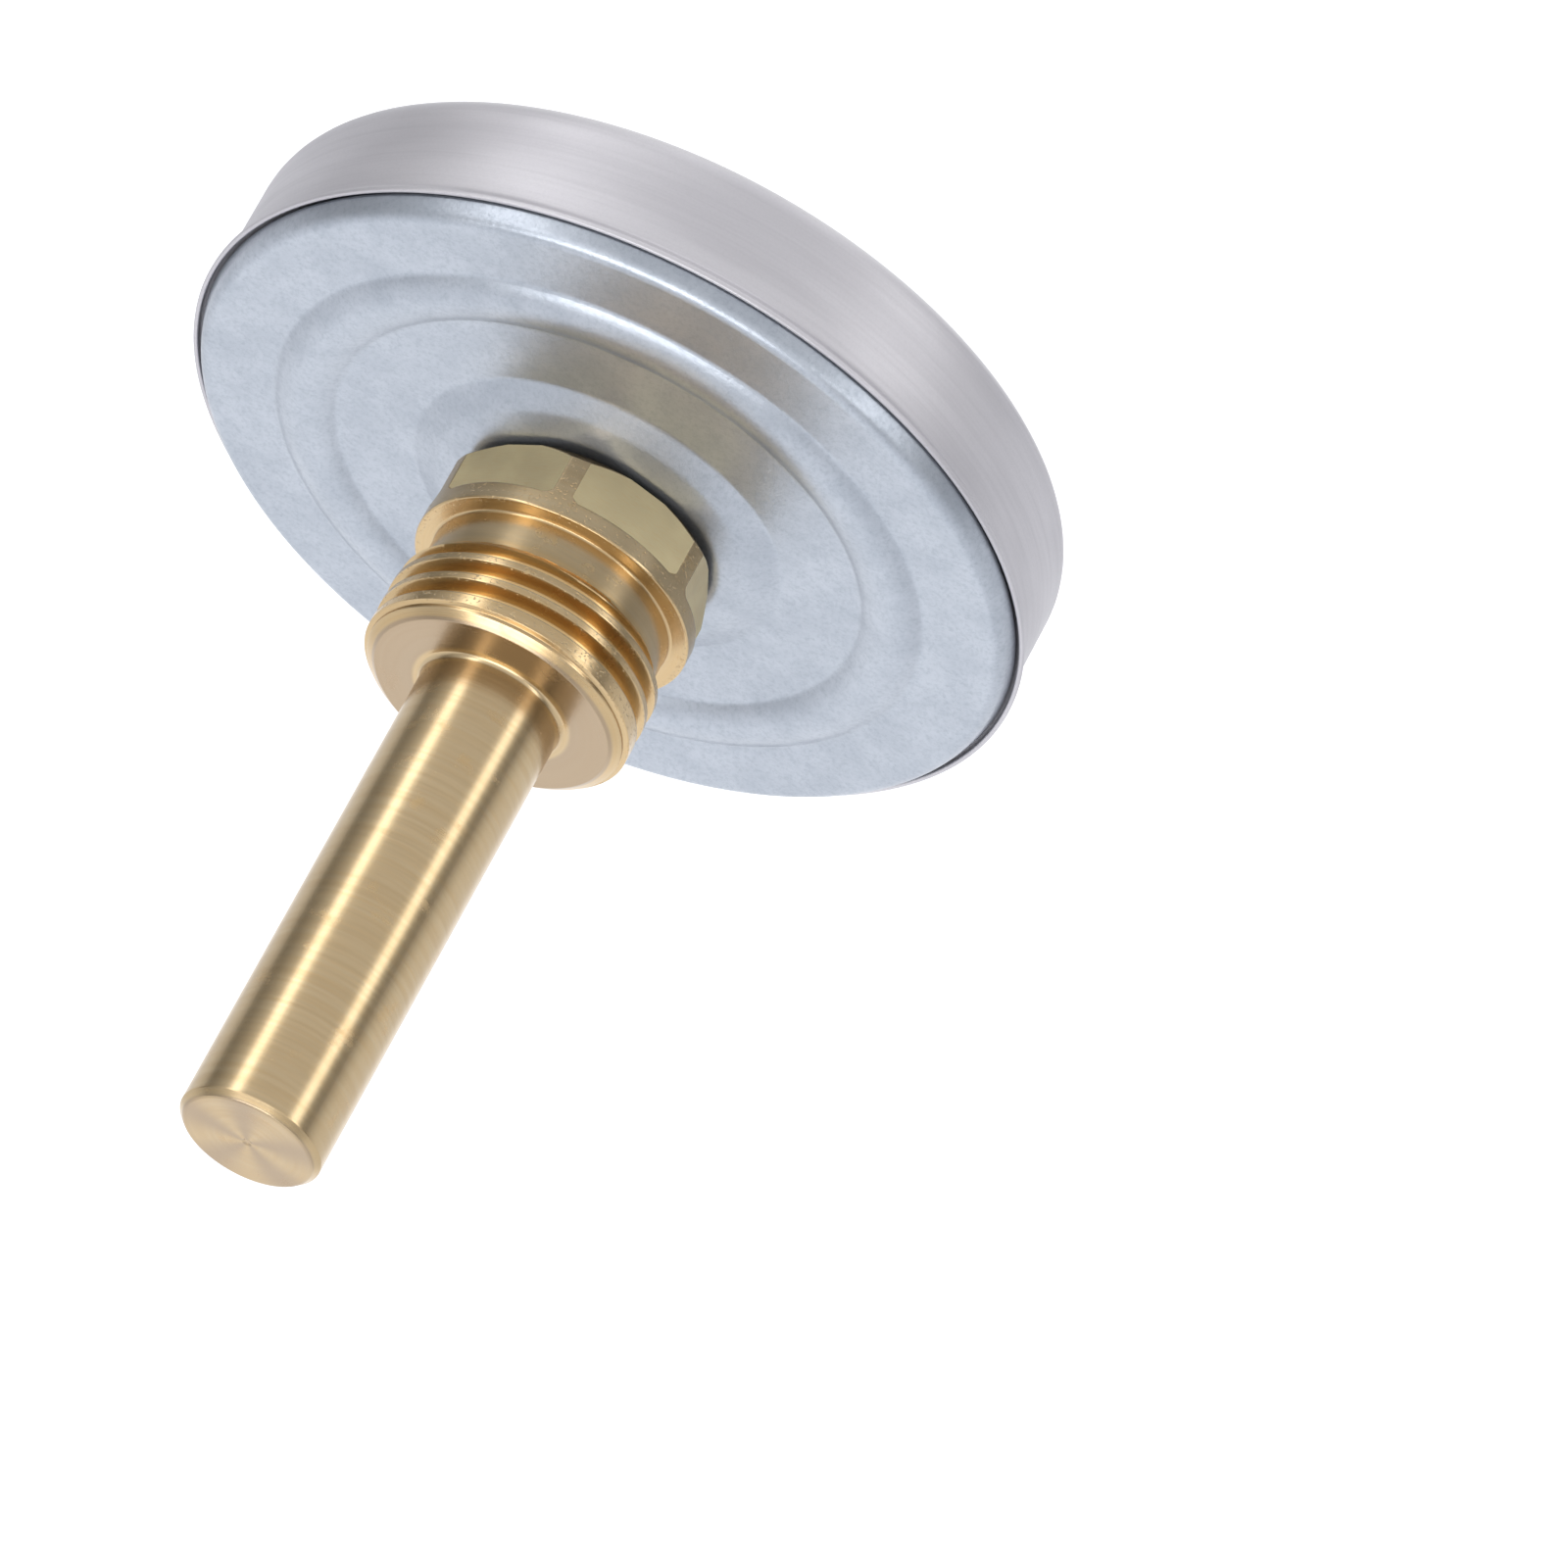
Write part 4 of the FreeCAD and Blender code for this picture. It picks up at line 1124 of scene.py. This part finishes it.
class MakeStem(bpy.types.Operator):
    """Make the stem: its socket, tube, end plug and bimetal coil"""
    bl_idname = "thermometer.make_stem"
    bl_label = "Stem"

    def execute(self, context):
        around = np.linspace(0, 2 * pi, 129)
        socket = run_out([
            (4.0, -9.0, 0.1), (9.5, -9.0, 0.15), (9.5, -7.8, 0.1), (6.2, -7.8, 0.05), (6.2, -7.1, 0.05),
            (7.0, -7.1, 0.1), (7.0, -6.6, 0.12), (5.55, -6.6, 0.1), (5.55, -1.6, 0.05), (5.15, -1.2, 0.05),
            (4.0, -1.2, 0.05)])
        as_piece("socket_body", revolve("socket_body", socket, around), "socket_brass", "head",
                 ("turned_socket",), "stem_socket")
        tube = run_out([(3.5, -9.0, 0.05), (4.0, -9.0, 0.05), (4.0, 48.0, 0.18), (3.5, 48.0, 0.05)])
        as_piece("stem_tube_body", revolve("stem_tube_body", tube, around), "stem_steel", "head",
                 ("drawn_steel",), "stem_tube")
        plug = run_out([(0, 46.8, 0), (3.5, 46.8, 0.1), (3.5, 48.0, 0.12), (0, 48.0, 0)], closed=False)
        as_piece("end_plug_body", revolve("end_plug_body", plug[::-1], around, closed=False), "stem_steel",
                 "head", ("drawn_steel",), "stem_end_plug")
        coil = grow("bimetal_coil_body", self.coil_nodes(bpy.data.materials["bimetal_strip"]), {
            "Turns": 9.0, "Coil Radius": 2.775 * MM, "Coil Length": 11.25 * MM,
            "Strip Thickness": 0.25 * MM, "Strip Width": 0.85 * MM, "Start": (34.425 + SHOULDER) * MM})
        tidy_mesh(coil, 40)
        piece = bpy.data.objects.new("bimetal_coil_body", coil)
        context.scene.collection.objects.link(piece)
        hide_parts("bimetal_coil")
        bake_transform(piece)
        return {"FINISHED"}

    def coil_nodes(self, strip):
        """A flat strip wound into a coil along the stem."""
        g, i = new_nodes("bimetal_coil_nodes", {
            "Turns": ("Float", 9.0), "Coil Radius": ("Float", 0.0028), "Coil Length": ("Float", 0.011),
            "Strip Thickness": ("Float", 0.00025), "Strip Width": ("Float", 0.00085),
            "Start": ("Float", 0.0)})
        line = g.node("GeometryNodeCurveSpiral", {}, {
            "Resolution": 48, "Rotations": i["Turns"], "Start Radius": i["Coil Radius"],
            "End Radius": i["Coil Radius"], "Height": i["Coil Length"], "Reverse": False})
        upright = g.node("GeometryNodeSetCurveNormal", {"mode": "Z_UP"}, {"Curve": line})
        section = g.node("GeometryNodeCurvePrimitiveQuadrilateral", {}, {
            "Width": i["Strip Thickness"], "Height": i["Strip Width"]})
        ribbon = g.node("GeometryNodeCurveToMesh", {}, {
            "Curve": upright, "Profile Curve": section, "Fill Caps": True})
        laid = g.node("GeometryNodeTransform", {}, {
            "Geometry": ribbon, "Translation": g.combine(0.0, i["Start"], 0.0), "Rotation": (-pi / 2, 0, 0)})
        close_nodes(g, [laid], strip)
        return g.tree


class MakeStage(bpy.types.Operator):
    """Lay the floor with its painted pool of light, hang the lights and set up the camera"""
    bl_idname = "thermometer.make_stage"
    bl_label = "Stage"

    def execute(self, context):
        scene = context.scene
        s = scene.stage_sizes
        bm = bmesh.new()
        bmesh.ops.create_grid(
            bm, x_segments=8, y_segments=8, size=6.0, matrix=Matrix.Translation((0, 0, s.floor)))
        mesh = bpy.data.meshes.new("floor")
        bm.to_mesh(mesh)
        bm.free()
        floor = bpy.data.objects.new("floor", mesh)
        scene.collection.objects.link(floor)
        f = Finish("floor_paper", emission_strength=1.0)
        tooth = f.noise(0.02, 3.0)
        across, along = (f.x - 70) / 170, f.y / 460
        # Painted light: the floor's middle glows in a soft pool, by emission, though it is no lamp.
        painted_light_pool = (across * across + along * along).rise(2.2, 0.5)
        pale = f.mix(tooth, paint(236, 237, 239), paint(230, 231, 234))
        mesh.materials.append(f.wear(
            base_color=pale, roughness=0.75 + tooth * 0.1, normal=f.bump(tooth, 0.02),
            emission_color=f.mix(painted_light_pool, (0, 0, 0), (0.3, 0.3, 0.3))))
        for name, direction, distance, wide, tall, glow, tall_way in (
                ("right_strip", (0.60, 0.0, 0.80), 1.2, 0.32, 2.4, s.strips, (0, 1, 0)),
                ("left_strip", (-0.894, 0.0, 0.447), 1.2, 0.30, 2.4, s.strips * 0.95, (0, 1, 0)),
                ("rear_panel", (0.10, 0.93, 0.26), 1.3, 0.9, 0.5, s.panel, (0, 0, 1))):
            light = bpy.data.lights.new(name, "AREA")
            light.shape = "RECTANGLE"
            light.size, light.size_y = wide, tall
            light.energy = glow * pi * wide * tall
            lamp = bpy.data.objects.new(name, light)
            towards = Vector(direction).normalized()
            side = Vector(tall_way).cross(towards).normalized()
            turn = Matrix((side, towards.cross(side), towards)).transposed().to_4x4()
            lamp.matrix_world = Matrix.Translation(towards * distance) @ turn
            lamp.visible_camera = False
            scene.collection.objects.link(lamp)
        world = bpy.data.worlds.new("room")
        world.use_nodes = True
        g = Graph(world.node_tree)
        parts = g.tree.nodes.new("ShaderNodeSeparateXYZ")
        g.tree.links.new(g.node("ShaderNodeTexCoord", output="Generated").socket, parts.inputs[0])
        ahead, up = Value(g, parts.outputs[1]), Value(g, parts.outputs[2])
        ends = ahead.rise(0.2, 0.9) * 0.4 + ahead.rise(-0.65, -0.95) * 0.9
        glow = (ends + up.rise(0.1, 0.75) * 0.55 + 0.28) * s.sky
        seen = g.node("ShaderNodeLightPath", output="Is Camera Ray")
        glow = glow.most(seen * 0.86)
        backdrop = world.node_tree.nodes["Background"]
        backdrop.inputs["Color"].default_value = (0.98, 0.985, 1.0, 1.0)
        g.tree.links.new(glow.socket, backdrop.inputs["Strength"])
        scene.world = world
        scene.view_settings.view_transform = "Standard"
        camera = bpy.data.cameras.new("camera")
        camera.lens = s.lens
        camera.clip_start, camera.clip_end = 0.05, 20.0
        view = bpy.data.objects.new("camera", camera)
        right, up = Vector((-0.91244, -0.40921, 0.0)), Vector((0.34000, -0.75812, 0.55646))
        back = right.cross(up)
        turn = Matrix((right, up, back)).transposed().to_4x4()
        view.matrix_world = Matrix.Translation((-0.23658, 0.47986, 0.78290)) @ turn
        scene.collection.objects.link(view)
        scene.camera = view
        return {"FINISHED"}


STEPS = (MakeFinishes, MakeThermowell, MakeSetScrew, MakeCase, MakeBackPlate, MakeWindow, MakeDial,
         MakePointer, MakeStem, MakeStage)


class ThermometerPanel(bpy.types.Panel):
    """Sizes, colours and making steps of the thermometer"""
    bl_idname = "VIEW3D_PT_thermometer"
    bl_label = "Dial thermometer"
    bl_space_type = "VIEW_3D"
    bl_region_type = "UI"
    bl_category = "Thermometer"

    def draw(self, context):
        for step in STEPS:
            self.layout.operator(step.bl_idname, text=step.bl_label)
        for key, group in GROUPS.items():
            box = self.layout.box()
            box.label(text=group.__doc__)
            for name in group.__annotations__:
                box.prop(getattr(context.scene, key), name)


def register():
    """Makes the groups, steps and panel known, and gives each scene the groups."""
    for item in (*GROUPS.values(), *STEPS, ThermometerPanel):
        bpy.utils.register_class(item)
    for key, group in GROUPS.items():
        setattr(bpy.types.Scene, key, bpy.props.PointerProperty(type=group))


def unregister():
    """Takes back what register made known."""
    for key in GROUPS:
        delattr(bpy.types.Scene, key)
    for item in (ThermometerPanel, *reversed(STEPS), *reversed(GROUPS.values())):
        bpy.utils.unregister_class(item)


def main():
    """Makes the thermometer step by step."""
    register()
    for step in STEPS:
        group, call = step.bl_idname.split(".")
        if getattr(getattr(bpy.ops, group), call)() != {"FINISHED"}:
            raise RuntimeError(f"{step.bl_label} could not be made")


if __name__ == "__main__":
    main()
